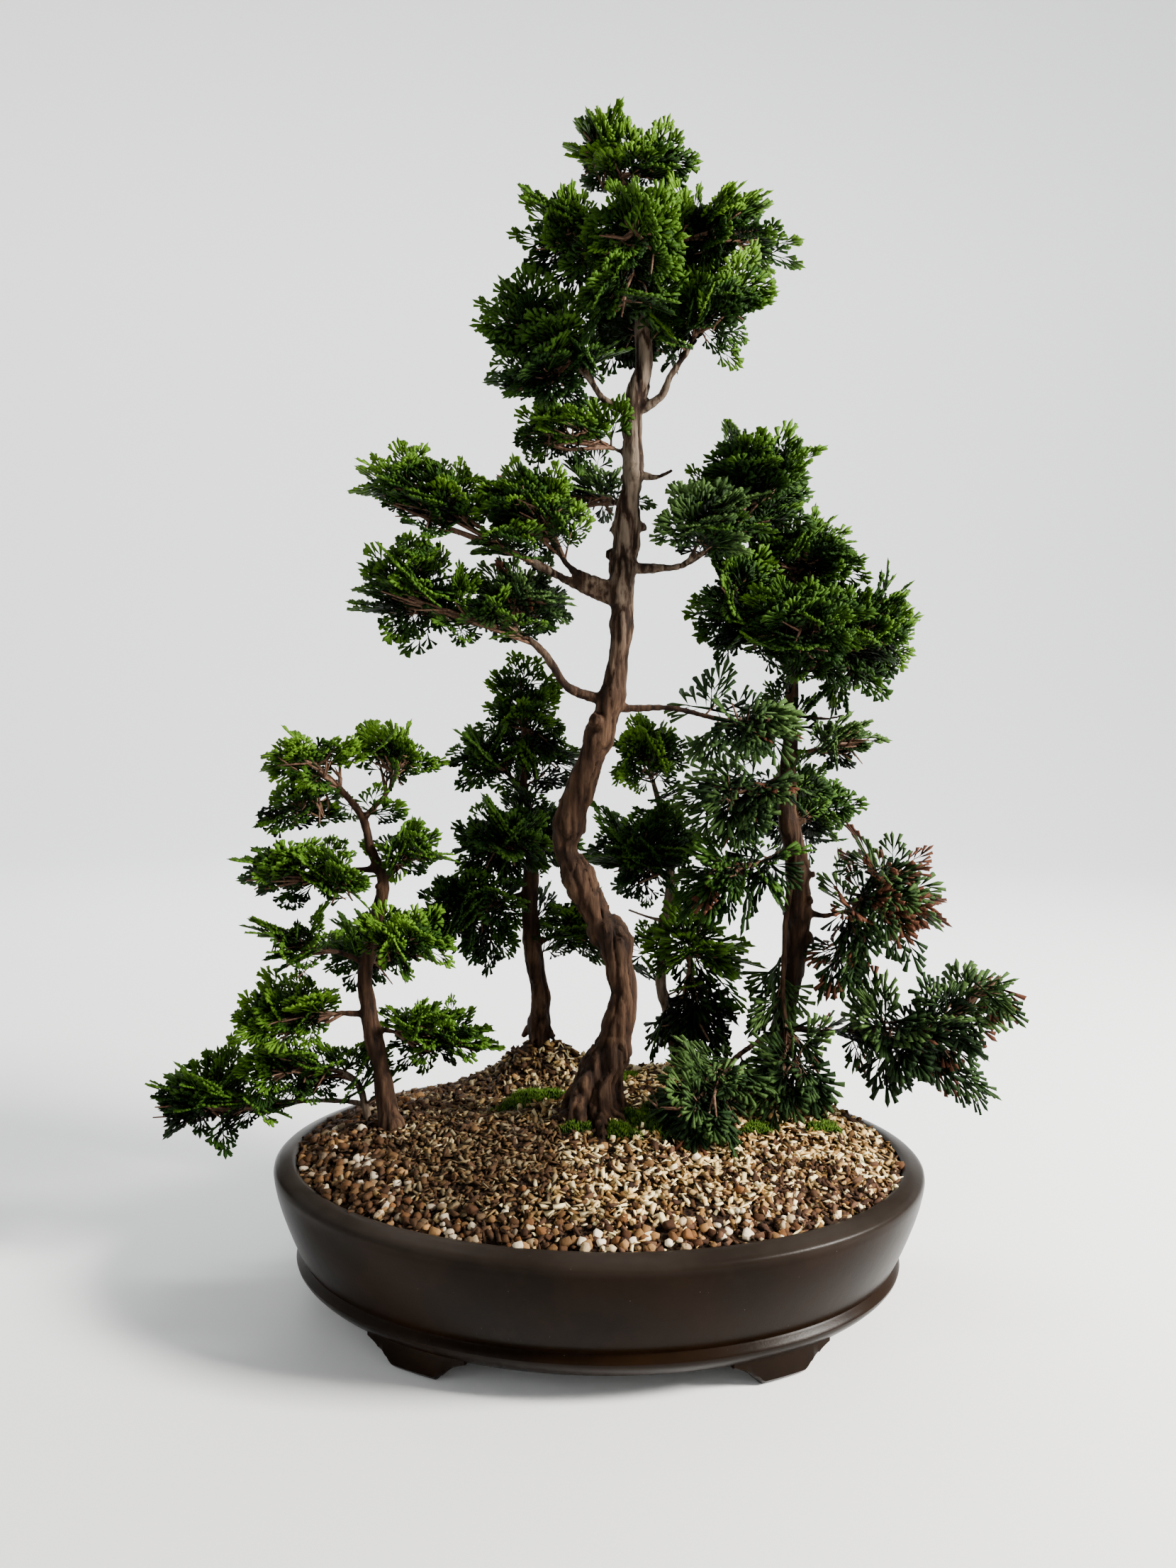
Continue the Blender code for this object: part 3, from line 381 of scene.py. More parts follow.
@dataclass(frozen=True)
class Grit(Finish):
    """Loose grains, each with a colour of its own drawn from a palette.

    The attribute tone holds each grain's draw in red; in green how wet it is, with painted shade added on
    the heap's left and in a hollow; and in blue how near the bed each of its points lies, which paints
    shade on the grains' undersides.
    """

    palette: tuple[Colour, ...] = (
        (0.026, 0.010, 0.004), (0.200, 0.100, 0.028), (0.700, 0.455, 0.160),
        (1.000, 0.820, 0.440))
    damp_and_shade: Colour = (0.034, 0.016, 0.006)
    gap: Colour = (0.004, 0.002, 0.001)

    def paint(self, graph: Graph) -> None:
        """A ramp of the palette, darkened where wet and where shade is painted."""
        draw = graph.part("tone", "Red")
        wet_and_shade = graph.part("tone", "Green")
        count = len(self.palette)
        stops = [((i + 0.2) / count, colour) for i, colour in enumerate(self.palette)]
        mottle = graph.noise(700.0, 3.0)
        colour = graph.ramp(draw + 0.10 * (mottle - 0.5), stops)
        colour = graph.mix(mottle.between(0.60, 0.85) * 0.4, colour, self.damp_and_shade)
        colour = graph.mix(wet_and_shade, colour, self.damp_and_shade)
        # Painted shade: the grains darken towards their undersides and the gaps between them.
        colour = graph.mix(graph.part("tone", "Blue").between(0.22, 0.85) * 0.95, colour, self.gap)
        graph.set(Base_Color=colour, Roughness=0.92 - 0.2 * wet_and_shade, Specular_IOR_Level=0.12)
        graph.bump(mottle, 0.6, 0.0005)


@dataclass(frozen=True)
class Earth(Finish):
    """The wet bed under the grains, kept very dark so that it paints the shade in the gaps between them."""

    # Very dark: the bed paints the shade seen in the gaps between grains, as well as wet earth.
    dark: Colour = (0.003, 0.0015, 0.001)
    pale: Colour = (0.026, 0.013, 0.006)

    def paint(self, graph: Graph) -> None:
        """Crumbs of two browns."""
        crumbs = graph.cells(420.0)
        clouds = graph.noise(60.0, 5.0)
        colour = graph.mix((crumbs * 0.6 + clouds * 0.6).between(0.35, 0.9), self.dark, self.pale)
        graph.set(Base_Color=colour, Roughness=0.95 - 0.1 * clouds, Specular_IOR_Level=0.08)
        graph.bump(crumbs, 0.9, 0.0015)


@dataclass(frozen=True)
class Moss(Finish):
    """Fine cushions of moss, bright at the tips."""

    deep: Colour = (0.006, 0.020, 0.002)
    tip: Colour = (0.078, 0.145, 0.013)

    def paint(self, graph: Graph) -> None:
        """Bright tips on a deep ground, with browner patches."""
        light = graph.part("tone", "Red")
        patch = graph.noise(90.0, 3.0)
        colour = graph.mix((light * (0.5 + patch)).between(0.1, 1.0), self.deep, self.tip)
        graph.set(Base_Color=colour, Roughness=0.85 + 0.1 * patch, Specular_IOR_Level=0.08)
        graph.bump(graph.noise(1500.0, 2.0), 0.5, 0.0004)


@dataclass(frozen=True)
class MeshPlastic(Finish):
    """The dark plastic of a drain screen."""

    colour: Colour = (0.018, 0.018, 0.018)
    worn: Colour = (0.06, 0.055, 0.05)

    def paint(self, graph: Graph) -> None:
        """Even plastic with dust in places."""
        dust = graph.noise(300.0, 3.0).between(0.5, 0.8)
        graph.set(Base_Color=graph.mix(dust, self.colour, self.worn), Roughness=0.5 + 0.3 * dust)


@dataclass(frozen=True)
class PlainFloor(Finish):
    """The pale studio floor."""

    colour: Colour = (0.84, 0.85, 0.85)

    def paint(self, graph: Graph) -> None:
        """One even tone."""
        graph.set(Base_Color=self.colour, Roughness=0.8)


class Leaves(Enum):
    """The foliage finishes: the record's slot and the tones of each."""

    GREEN = ("foliage_green", Foliage())
    BRIGHT = ("foliage_bright", Foliage(leaf=(0.0115, 0.0370, 0.0024), tip=(0.092, 0.195, 0.012)))
    DARK = ("foliage_dark", Foliage(leaf=(0.0062, 0.0225, 0.0025), tip=(0.042, 0.100, 0.009)))
    GREY = ("foliage_grey", Foliage(deep=(0.0014, 0.0034, 0.0012), leaf=(0.0088, 0.0240, 0.0054),
                                    tip=(0.060, 0.114, 0.026)))


# Modelling by hand


def only(piece: Piece) -> None:
    """Select one object and make it the active one."""
    bpy.ops.object.select_all(action="DESELECT")
    piece.select_set(True)
    bpy.context.view_layer.objects.active = piece


def modify(piece: Piece, kind: str, **settings: Any) -> None:
    """Add a modifier to a piece, with its settings, and apply it.

    Args:
        piece: what is modified.
        kind: the modifier's type.
        settings: its settings by name.
    """
    only(piece)
    modifier = piece.modifiers.new(kind.lower(), kind)
    for key, value in settings.items():
        setattr(modifier, key, value)
    bpy.ops.object.modifier_apply(modifier=modifier.name)


def entitle(piece: Piece, name: str) -> None:
    """Name a piece and its mesh."""
    piece.name = piece.data.name = name


def smooth(piece: Piece, degrees: float = 40.0) -> None:
    """Shade a piece smooth but for edges sharper than an angle."""
    only(piece)
    bpy.ops.object.shade_smooth_by_angle(angle=math.radians(degrees))


def merge(piece: Piece, distance: float = 0.02 * MM) -> None:
    """Weld the points of a piece that lie together and turn its faces outwards."""
    only(piece)
    bpy.ops.object.mode_set(mode="EDIT")
    bpy.ops.mesh.select_all(action="SELECT")
    bpy.ops.mesh.remove_doubles(threshold=distance)
    bpy.ops.mesh.normals_make_consistent(inside=False)
    bpy.ops.object.mode_set(mode="OBJECT")


def join(name: str, pieces: Sequence[Piece]) -> Piece:
    """Join pieces into the first one, under a name.

    Args:
        name: the joined piece's name.
        pieces: what is joined.

    Returns:
        The joined piece.
    """
    bpy.ops.object.select_all(action="DESELECT")
    for piece in pieces:
        piece.select_set(True)
    bpy.context.view_layer.objects.active = pieces[0]
    if len(pieces) > 1:
        bpy.ops.object.join()
    entitle(pieces[0], name)
    return pieces[0]


def shaped_grid(name: str, columns: int, rows: int, place: Callable[[int, int], Vector]) -> Piece:
    """Bend a grid primitive into a shape, and weld its seams and poles.

    Args:
        name: the new piece's name.
        columns: how many cells the grid has across.
        rows: how many cells it has up.
        place: gives the place of each of its points, in metres, from column and row.

    Returns:
        The new piece.
    """
    bpy.ops.mesh.primitive_grid_add(x_subdivisions=columns, y_subdivisions=rows, size=2.0)
    piece = bpy.context.object
    entitle(piece, name)
    for vertex in piece.data.vertices:
        column = round((vertex.co.x + 1.0) / 2.0 * columns)
        row = round((vertex.co.y + 1.0) / 2.0 * rows)
        vertex.co = place(column, row)
    merge(piece)
    return piece


def smooth_route(points: Sequence[Sequence[float]], steps: int) -> Route:
    """A smooth curve through points of any number of values.

    Args:
        points: the values at each point.
        steps: how many steps there are from each point to the next.

    Returns:
        The values along the curve.
    """
    values = [np.array(point, float) for point in points]
    values = [2 * values[0] - values[1], *values, 2 * values[-1] - values[-2]]
    route = []
    for a, b, c, d in zip(values, values[1:], values[2:], values[3:]):
        for i in range(steps):
            t = i / steps
            route.append(0.5 * (2 * b + (c - a) * t + (2 * a - 5 * b + 4 * c - d) * t * t
                                + (3 * b - a - 3 * c + d) * t ** 3))
    route.append(values[-2])
    return route


def tubes(name: str, routes: Sequence[Route], sides: int = 4) -> Piece:
    """Closed round tubes along routes.

    Args:
        name: the new piece's name.
        routes: for each tube its points, each with x, y, z and radius.
        sides: four, or a larger even number of sides.

    Returns:
        The tubes in one mesh.
    """
    curve = bpy.data.curves.new(name, "CURVE")
    curve.dimensions = "3D"
    curve.bevel_depth = MM
    curve.bevel_resolution = (sides - 4) // 2
    curve.use_fill_caps = True
    for route in routes:
        spline = curve.splines.new("POLY")
        spline.points.add(len(route) - 1)
        for point, values in zip(spline.points, route):
            point.co = (*to_frame(values[:3]), 1.0)
            point.radius = max(float(values[3]), 0.05)
    piece = bpy.data.objects.new(name, curve)
    bpy.context.scene.collection.objects.link(piece)
    only(piece)
    bpy.ops.object.convert(target="MESH")
    piece = bpy.context.object
    merge(piece)
    return piece


def mesh_arrays(piece: Piece) -> tuple[Array, Array]:
    """A piece's points and its triangles."""
    mesh = piece.data
    mesh.calc_loop_triangles()
    points = np.zeros(len(mesh.vertices) * 3)
    mesh.vertices.foreach_get("co", points)
    triangles = np.zeros(len(mesh.loop_triangles) * 3, dtype=np.int64)
    mesh.loop_triangles.foreach_get("vertices", triangles)
    return points.reshape(-1, 3), triangles.reshape(-1, 3)


def mesh_piece(name: str, points: Array, triangles: Array, tone: Optional[Array] = None) -> Piece:
    """A piece from many placed copies of modelled shapes.

    Args:
        name: the new piece's name.
        points: the points, in metres.
        triangles: the points of each triangle.
        tone: red, green and blue of each point for the attribute tone.

    Returns:
        The new piece.
    """
    mesh = bpy.data.meshes.new(name)
    mesh.vertices.add(len(points))
    mesh.vertices.foreach_set("co", points.ravel())
    mesh.loops.add(len(triangles) * 3)
    mesh.loops.foreach_set("vertex_index", triangles.ravel().astype(np.int32))
    mesh.polygons.add(len(triangles))
    mesh.polygons.foreach_set("loop_start", np.arange(0, len(triangles) * 3, 3, dtype=np.int32))
    mesh.update(calc_edges=True)
    piece = bpy.data.objects.new(name, mesh)
    bpy.context.scene.collection.objects.link(piece)
    if tone is not None:
        set_tone(piece, tone)
    return piece


def tone_rows(red: Array, green: Array, blue: Array) -> Array:
    """The tones of each copy's points, from parts that may hold one value for many."""
    return np.stack(np.broadcast_arrays(red, green, blue), axis=-1)


def set_tone(piece: Piece, tone: Array) -> None:
    """Write the attribute tone: one red, green and blue for all, or for each point."""
    count = len(piece.data.vertices)
    values = np.ones((count, 4))
    values[:, :3] = tone
    layer = piece.data.color_attributes.new("tone", "FLOAT_COLOR", "POINT")
    layer.data.foreach_set("color", values.ravel())


@dataclass
class Shape:
    """A small modelled shape that is copied many times."""

    points: Array
    triangles: Array

    @classmethod
    def taken_from(cls, piece: Piece) -> "Shape":
        """Keep a modelled piece's shape and remove the piece."""
        shape = cls(*mesh_arrays(piece))
        bpy.data.objects.remove(piece, do_unlink=True)
        return shape


@dataclass
class Copies:
    """Placed copies of shapes, gathered for one piece."""

    points: list = field(default_factory=list)
    triangles: list = field(default_factory=list)
    tones: list = field(default_factory=list)
    count: int = 0

    def add(self, shape: Shape, places: Array, frames: Array, tones: Array) -> None:
        """Place copies of one shape.

        Args:
            shape: what is copied.
            places: where each copy's origin goes, in metres.
            frames: for each copy a matrix of its turn and size.
            tones: for each copy the tone of each of its points.
        """
        copies = len(places)
        if not copies:
            return
        moved = np.einsum("kij,nj->kni", frames, shape.points) + places[:, None, :]
        step = len(shape.points)
        offsets = self.count + step * np.arange(copies)
        self.points.append(moved.reshape(-1, 3))
        self.triangles.append((shape.triangles[None, :, :] + offsets[:, None, None]).reshape(-1, 3))
        self.tones.append(tones.reshape(-1, 3))
        self.count += step * copies

    def piece(self, name: str) -> Piece:
        """All the copies as one piece."""
        return mesh_piece(name, np.concatenate(self.points), np.concatenate(self.triangles),
                          np.concatenate(self.tones))


def unit(vectors: Array) -> Array:
    """Rows scaled to unit length."""
    return vectors / np.maximum(np.linalg.norm(vectors, axis=-1, keepdims=True), 1e-9)


def frames_along(ahead: Array, up: Array, sizes: Array) -> Array:
    """Turning matrices whose X runs ahead and whose Z lies near up.

    Args:
        ahead: each copy's heading.
        up: roughly where each copy's top faces.
        sizes: each copy's size along its own axes.

    Returns:
        One matrix for each copy.
    """
    x = unit(ahead)
    z = up - x * np.sum(up * x, axis=1, keepdims=True)
    z = unit(z + 1e-6)
    z = unit(z - x * np.sum(z * x, axis=1, keepdims=True))
    y = np.cross(z, x)
    turn = np.stack([x, y, z], axis=2)
    return turn * sizes[:, None, :]


def hand_over(piece: Piece, slot: str, *nodes: str) -> None:
    """Attach a piece to the body that it rides on, and hide the solids that it stands for.

    Args:
        piece: the finished piece.
        slot: the record's slot of its finish; not used.
        nodes: the solids that it stands for.
    """
    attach(piece, BODY)
    if nodes:
        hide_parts(*nodes)
    faces = sum(len(polygon.vertices) - 2 for polygon in piece.data.polygons)
    log.info("%s: %d triangles", piece.name, faces)


# The pot


@dataclass
class Pot:
    """The oval stoneware pot, turned smooth, on its four cloud feet."""

    length: float = 420.0
    width: float = 324.0
    around: int = 192
    # The section as (inset from the widest oval, height), from the underside to the floor.
    outside: tuple = (
        (25.0, 13.5), (22.6, 14.6), (19.4, 17.4), (16.4, 20.6), (14.5, 23.4), (14.0, 25.3),
        (15.0, 27.1), (17.2, 28.5), (17.9, 29.5), (16.4, 31.8), (14.4, 36.0), (11.0, 44.0),
        (7.6, 53.0), (4.5, 62.0), (2.1, 70.5), (0.6, 78.0), (0.1, 82.0), (0.5, 84.6), (1.9, 86.0),
        (4.2, 87.0), (8.0, 88.2), (11.4, 88.9), (13.2, 88.7), (14.3, 87.8), (14.5, 86.4),
        (14.5, 80.0), (10.0, 74.0), (18.0, 52.0), (27.0, 29.0), (34.0, 21.5))
    disc_shares: tuple = (0.0, 0.35, 0.7)
    foot_angles: tuple = (56.0, 124.0, 236.0, 304.0)
    foot_half: float = 37.0
    foot_insets: tuple = (20.4, 36.0)
    foot_top: float = 17.0
    underside: float = 13.5
    foot_steps: int = 40
    drains: tuple = ((-78.0, 0.0), (78.0, 0.0))
    drain_radius: float = 8.5

    def oval(self, inset: float, height: float, angle: float, share: float = 1.0) -> Vector:
        """A point of the oval drawn in by an inset, and shrunk to a share for its discs."""
        return to_frame(((self.length / 2 - inset) * math.cos(angle) * share,
                         (self.width / 2 - inset) * math.sin(angle) * share, height))

    def wall(self) -> Piece:
        """The body: a closed section carried round the oval."""
        rows = [(*self.outside[0], share) for share in self.disc_shares]
        rows += [(inset, height, 1.0) for inset, height in self.outside]
        rows += [(*self.outside[-1], share) for share in reversed(self.disc_shares)]

        def place(column: int, row: int) -> Vector:
            """The place of one point of the grid."""
            inset, height, share = rows[row]
            return self.oval(inset, height, math.tau * column / self.around, share)

        return shaped_grid("pot_wall", self.around, len(rows) - 1, place)

    def foot_edge(self, share: float) -> float:
        """The height of a foot's lower edge at a share of its half span."""
        away = abs(share)
        if away < 0.43:
            return 0.0
        if away < 0.58:
            return 4.2 * math.sin((away - 0.43) / 0.15 * math.pi / 2) ** 1.5
        if away < 0.74:
            return 4.2 + 5.2 * ((away - 0.58) / 0.16) ** 0.8
        return 9.4 + 4.0 * ((away - 0.74) / 0.26) ** 0.7

    def foot(self, middle_angle: float) -> Piece:
        """One foot, a closed tube of four sides along the oval."""
        outer, inner = self.foot_insets
        middle = math.radians(middle_angle)
        speed = math.hypot(self.length / 2 * math.sin(middle), self.width / 2 * math.cos(middle))
        sides = 12

        def place(column: int, row: int) -> Vector:
            """The place of one point of the grid."""
            share = 2.0 * (column - 1) / (self.foot_steps - 2) - 1.0
            closed = column in (0, self.foot_steps)
            share = max(-1.0, min(1.0, share))
            low = self.foot_edge(share)
            angle = middle + share * self.foot_half / speed
            taper = 2.0 * (1.0 - low / self.underside)
            corner = [(outer + taper + 1.2, low), (inner - taper, low), (inner, self.foot_top),
                      (outer, self.foot_top), (outer, low + 3.0 if low < 9.0 else low + 1.0),
                      (outer + taper + 0.2, low + 0.8)]
            inset, height = corner[(row * len(corner) // sides) % len(corner)]
            if closed:
                inset = (outer + inner) / 2
                height = (low + self.foot_top) / 2
            return self.oval(inset, height, angle)

        return shaped_grid("pot_foot", self.foot_steps, sides, place)

    @staticmethod
    def combine(body: Piece, other: Piece, operation: str) -> None:
        """Fuse another piece to the body or cut it away, and remove it."""
        modify(body, "BOOLEAN", operation=operation, object=other, solver="EXACT")
        bpy.data.objects.remove(other, do_unlink=True)

    def cut_drains(self, piece: Piece) -> None:
        """Cut the drain holes through the floor."""
        for x, y in self.drains:
            bpy.ops.mesh.primitive_cylinder_add(
                vertices=48, radius=self.drain_radius * MM, depth=30.0 * MM,
                location=to_frame((x, y, 18.0)))
            self.combine(piece, bpy.context.object, "DIFFERENCE")

    def build(self) -> Piece:
        """The wall with its feet and drains, in one piece."""
        wall = self.wall()
        for angle in self.foot_angles:
            self.combine(wall, self.foot(angle), "UNION")
        self.cut_drains(wall)
        wall.name = "stoneware_pot"
        smooth(wall, 38.0)
        return wall

    def dress(self, piece: Piece) -> None:
        """Finish the pot in unglazed stoneware."""
        Stoneware().dress(piece, "dark_stoneware")
        hand_over(piece, "stoneware", "pot")


@dataclass
class DrainScreens:
    """The plastic screens over the drains keep their solids and get a finish."""

    nodes: tuple = ("drain_screen_left", "drain_screen_right")

    def dress(self) -> None:
        """Finish both screens."""
        for name in self.nodes:
            MeshPlastic().dress(frame["nodes"][name], "screen_plastic")


# The trees


@dataclass
class Branch:
    """A branch: its first and last radius and its route."""

    name: str
    radii: tuple
    route: list


@dataclass
class Root:
    """A surface root: its heading in degrees, its reach and its radius."""

    angle: float
    reach: float
    radius: float


@dataclass
class Tree:
    """One tree: a trunk as (x, y, z, radius) points, its branches and its roots."""

    name: str
    bark: Bark
    trunk: list
    branches: list = field(default_factory=list)
    roots: list = field(default_factory=list)
    voxel: float = 1.2
    keep: float = 0.42
    relief: float = 1.0
    # How far the trunk and the limbs wander, in radii, and how slim the trunk is between its
    # buttresses, at how many stations.
    trunk_sway: float = 0.26
    limb_sway: float = 0.5
    slimmed: float = 0.80
    slim_stations: int = 14
    buttresses: int = 0
    slot: str = "bark"
    spurs: int = 0

    def wander(self, route: Route, depth: float, seed: int) -> Route:
        """Give a route small bends and swellings, none at its ends.

        Args:
            route: points with radii.
            depth: how far it bends, in radii.
            seed: where the noise is read.

        Returns:
            The bent route.
        """
        bent = []
        for i, values in enumerate(route):
            ease = math.sin(math.pi * i / max(len(route) - 1, 1)) ** 0.5
            at = Vector((*values[:3],)) * 0.045 + Vector((seed * 7.3, 0.0, 0.0))
            sway = noise.noise_vector(at) * depth * values[3] * ease
            swell = 1.0 + 0.30 * noise.noise(at * 2.4) * ease
            bent.append(np.array([*(values[:3] + np.array(sway)), values[3] * swell]))
        return bent

    def trunk_route(self) -> Route:
        """The trunk's smooth route."""
        return smooth_route(self.trunk, 4)

    def branch_routes(self) -> list[Route]:
        """The branches' routes, each with a collar where it leaves the trunk."""
        routes = []
        for seed, branch in enumerate(self.branches):
            first, last = branch.radii[0] * 0.86, branch.radii[1]
            count = len(branch.route)
            route = smooth_route([(*point, first + (last - first) * (i / (count - 1)))
                                  for i, point in enumerate(branch.route)], 4)
            for i, values in enumerate(route[:4]):
                values[3] *= 1.0 + 0.25 * (1.0 - i / 4.0)
            routes.append(self.wander(route, self.limb_sway, seed + 3))
        return routes

    def root_routes(self) -> list[Route]:
        """Surface roots that leave the trunk's foot and dip into the soil."""
        foot_x, foot_y = self.trunk[1][0], self.trunk[1][1]
        routes = []
        for seed, root in enumerate(self.roots):
            heading = math.radians(root.angle)
            points = []
            for share, lift, thick in ((0.12, 14.0, 1.0), (0.32, 6.0, 1.0), (0.5, 2.5, 0.82),
                                       (0.8, -1.0, 0.55), (1.0, -7.0, 0.32)):
                bend = 0.22 * math.sin(share * 3.0 + seed)
                x = foot_x + math.cos(heading + bend) * root.reach * share
                y = foot_y + math.sin(heading + bend) * root.reach * share
                points.append((x, y, SOIL.height(x, y) + lift, root.radius * thick))
            routes.append(self.wander(smooth_route(points, 4), self.limb_sway, seed + 40))
        return routes

    def buttress_routes(self) -> list[Route]:
        """Ridges that run down the trunk's flare and part at the soil."""
        routes = []
        low, flare, neck = self.trunk[1], self.trunk[2], self.trunk[4]
        for i in range(self.buttresses):
            angle = math.tau * (i + 0.3 * math.sin(i * 2.1)) / self.buttresses + 0.5
            out = np.array([math.cos(angle), math.sin(angle), 0.0])
            points = []
            for station, share in ((neck, 0.66), (flare, 0.78), (low, 0.94), (low, 1.40)):
                middle = np.array(station[:3], float)
                drop = 6.0 if share > 1.2 else 0.0
                place = middle + out * station[3] * share - np.array([0.0, 0.0, drop])
                points.append((*place, station[3] * (0.28 if share < 1.2 else 0.17)))
            routes.append(self.wander(smooth_route(points, 5), 0.9, i + 60))
        return routes

    def spur_routes(self, trunk: Route) -> list[Route]:
        """Short pruned stubs and knots along the trunk."""
        rng = np.random.default_rng(len(self.name) * 31)
        routes = []
        for _ in range(self.spurs):
            station = trunk[int(rng.uniform(0.25, 0.9) * len(trunk))]
            angle = rng.uniform(0.0, math.tau)
            out = np.array([math.cos(angle), math.sin(angle), rng.uniform(0.1, 0.7)])
            reach = station[3] * rng.uniform(1.05, 1.65)
            thick = station[3] * rng.uniform(0.24, 0.52)
            start = station[:3] + out * station[3] * 0.3
            routes.append([(*start, thick * 1.5), (*(station[:3] + out * reach), thick)])
        return routes

    def build(self) -> Piece:
        """All the wood fused in one skin, with furrows and lumps."""
        trunk = self.wander(self.trunk_route(), self.trunk_sway, len(self.name))
        if self.buttresses:
            for i, values in enumerate(trunk[:self.slim_stations]):
                values[3] *= self.slimmed + (1.0 - self.slimmed) * (i / self.slim_stations)
        wood = tubes(self.name + "_trunk", [trunk], 14)
        limbs = self.branch_routes() + self.root_routes() + self.buttress_routes()
        limbs += self.spur_routes(trunk)
        if limbs:
            wood = join(self.name + "_wood", [wood, tubes("limbs", limbs, 8)])
        modify(wood, "REMESH", mode="VOXEL", voxel_size=self.voxel * MM, adaptivity=0.0)
        modify(wood, "SMOOTH", factor=0.6, iterations=2)
        self.carve(wood)
        modify(wood, "DECIMATE", ratio=self.keep)
        smooth(wood, 80.0)
        return wood

    def carve(self, wood: Piece) -> None:
        """Raise strips and sink furrows along the wood, deeper where it is thick."""
        mesh = wood.data
        count = len(mesh.vertices)
        points = np.zeros(count * 3)
        mesh.vertices.foreach_get("co", points)
        normals = np.zeros(count * 3)
        mesh.vertex_normals.foreach_get("vector", normals)
        points = points.reshape(-1, 3)
        normals = normals.reshape(-1, 3)
        lift = np.zeros(count)
        tone = np.zeros((count, 3))
        thickness = self.thickness(points)
        for i, point in enumerate(points):
            x, y, z = point / MM
            strips = noise.fractal(Vector((x * 0.30, y * 0.30, z * 0.040)), 1.0, 2.0, 3)
            winding = noise.noise(Vector((x * 0.17, y * 0.17, z * 0.026 + 30.0)))
            crack = max(0.0, 1.0 - abs(winding) * 6.0)
            lumps = noise.noise(Vector((x * 0.06, y * 0.06, z * 0.048)))
            lift[i] = strips * 0.8 + lumps * 1.5 - crack * 1.1
            # The tone paints shade in the furrows and cracks and highlight on the lumps.
            tone[i, 0] = 0.52 + 0.55 * strips + 0.25 * lumps - 0.5 * crack
        depth = self.relief * np.clip(thickness / 9.0, 0.12, 1.25)
        points += normals * (lift * depth * MM)[:, None]
        mesh.vertices.foreach_set("co", points.ravel())
        mesh.update()
        set_tone(wood, np.clip(tone, 0.0, 1.0))

    def thickness(self, points: Array) -> Array:
        """How thick the wood is near each point, in millimetres."""
        stations = self.trunk_route()
        for route in self.branch_routes():
            stations += route
        places = np.array([to_frame(values[:3]) for values in stations])
        radii = np.array([values[3] for values in stations])
        result = []
        for block in np.array_split(points, len(points) // 4000 + 1):
            distances = np.linalg.norm(block[:, None, :] - places[None, :, :], axis=2)
            result.append(radii[np.argmin(distances, axis=1)])
        return np.concatenate(result)

    def dress(self, piece: Piece) -> None:
        """Finish the wood in bark."""
        self.bark.dress(piece, self.slot + "_finish")
        hand_over(piece, self.slot, self.name)


RED_BARK = Bark()
GREY_BARK = Bark(furrow=(0.018, 0.012, 0.008), strip=(0.090, 0.062, 0.042), peel_and_highlight=(0.230, 0.180, 0.135))

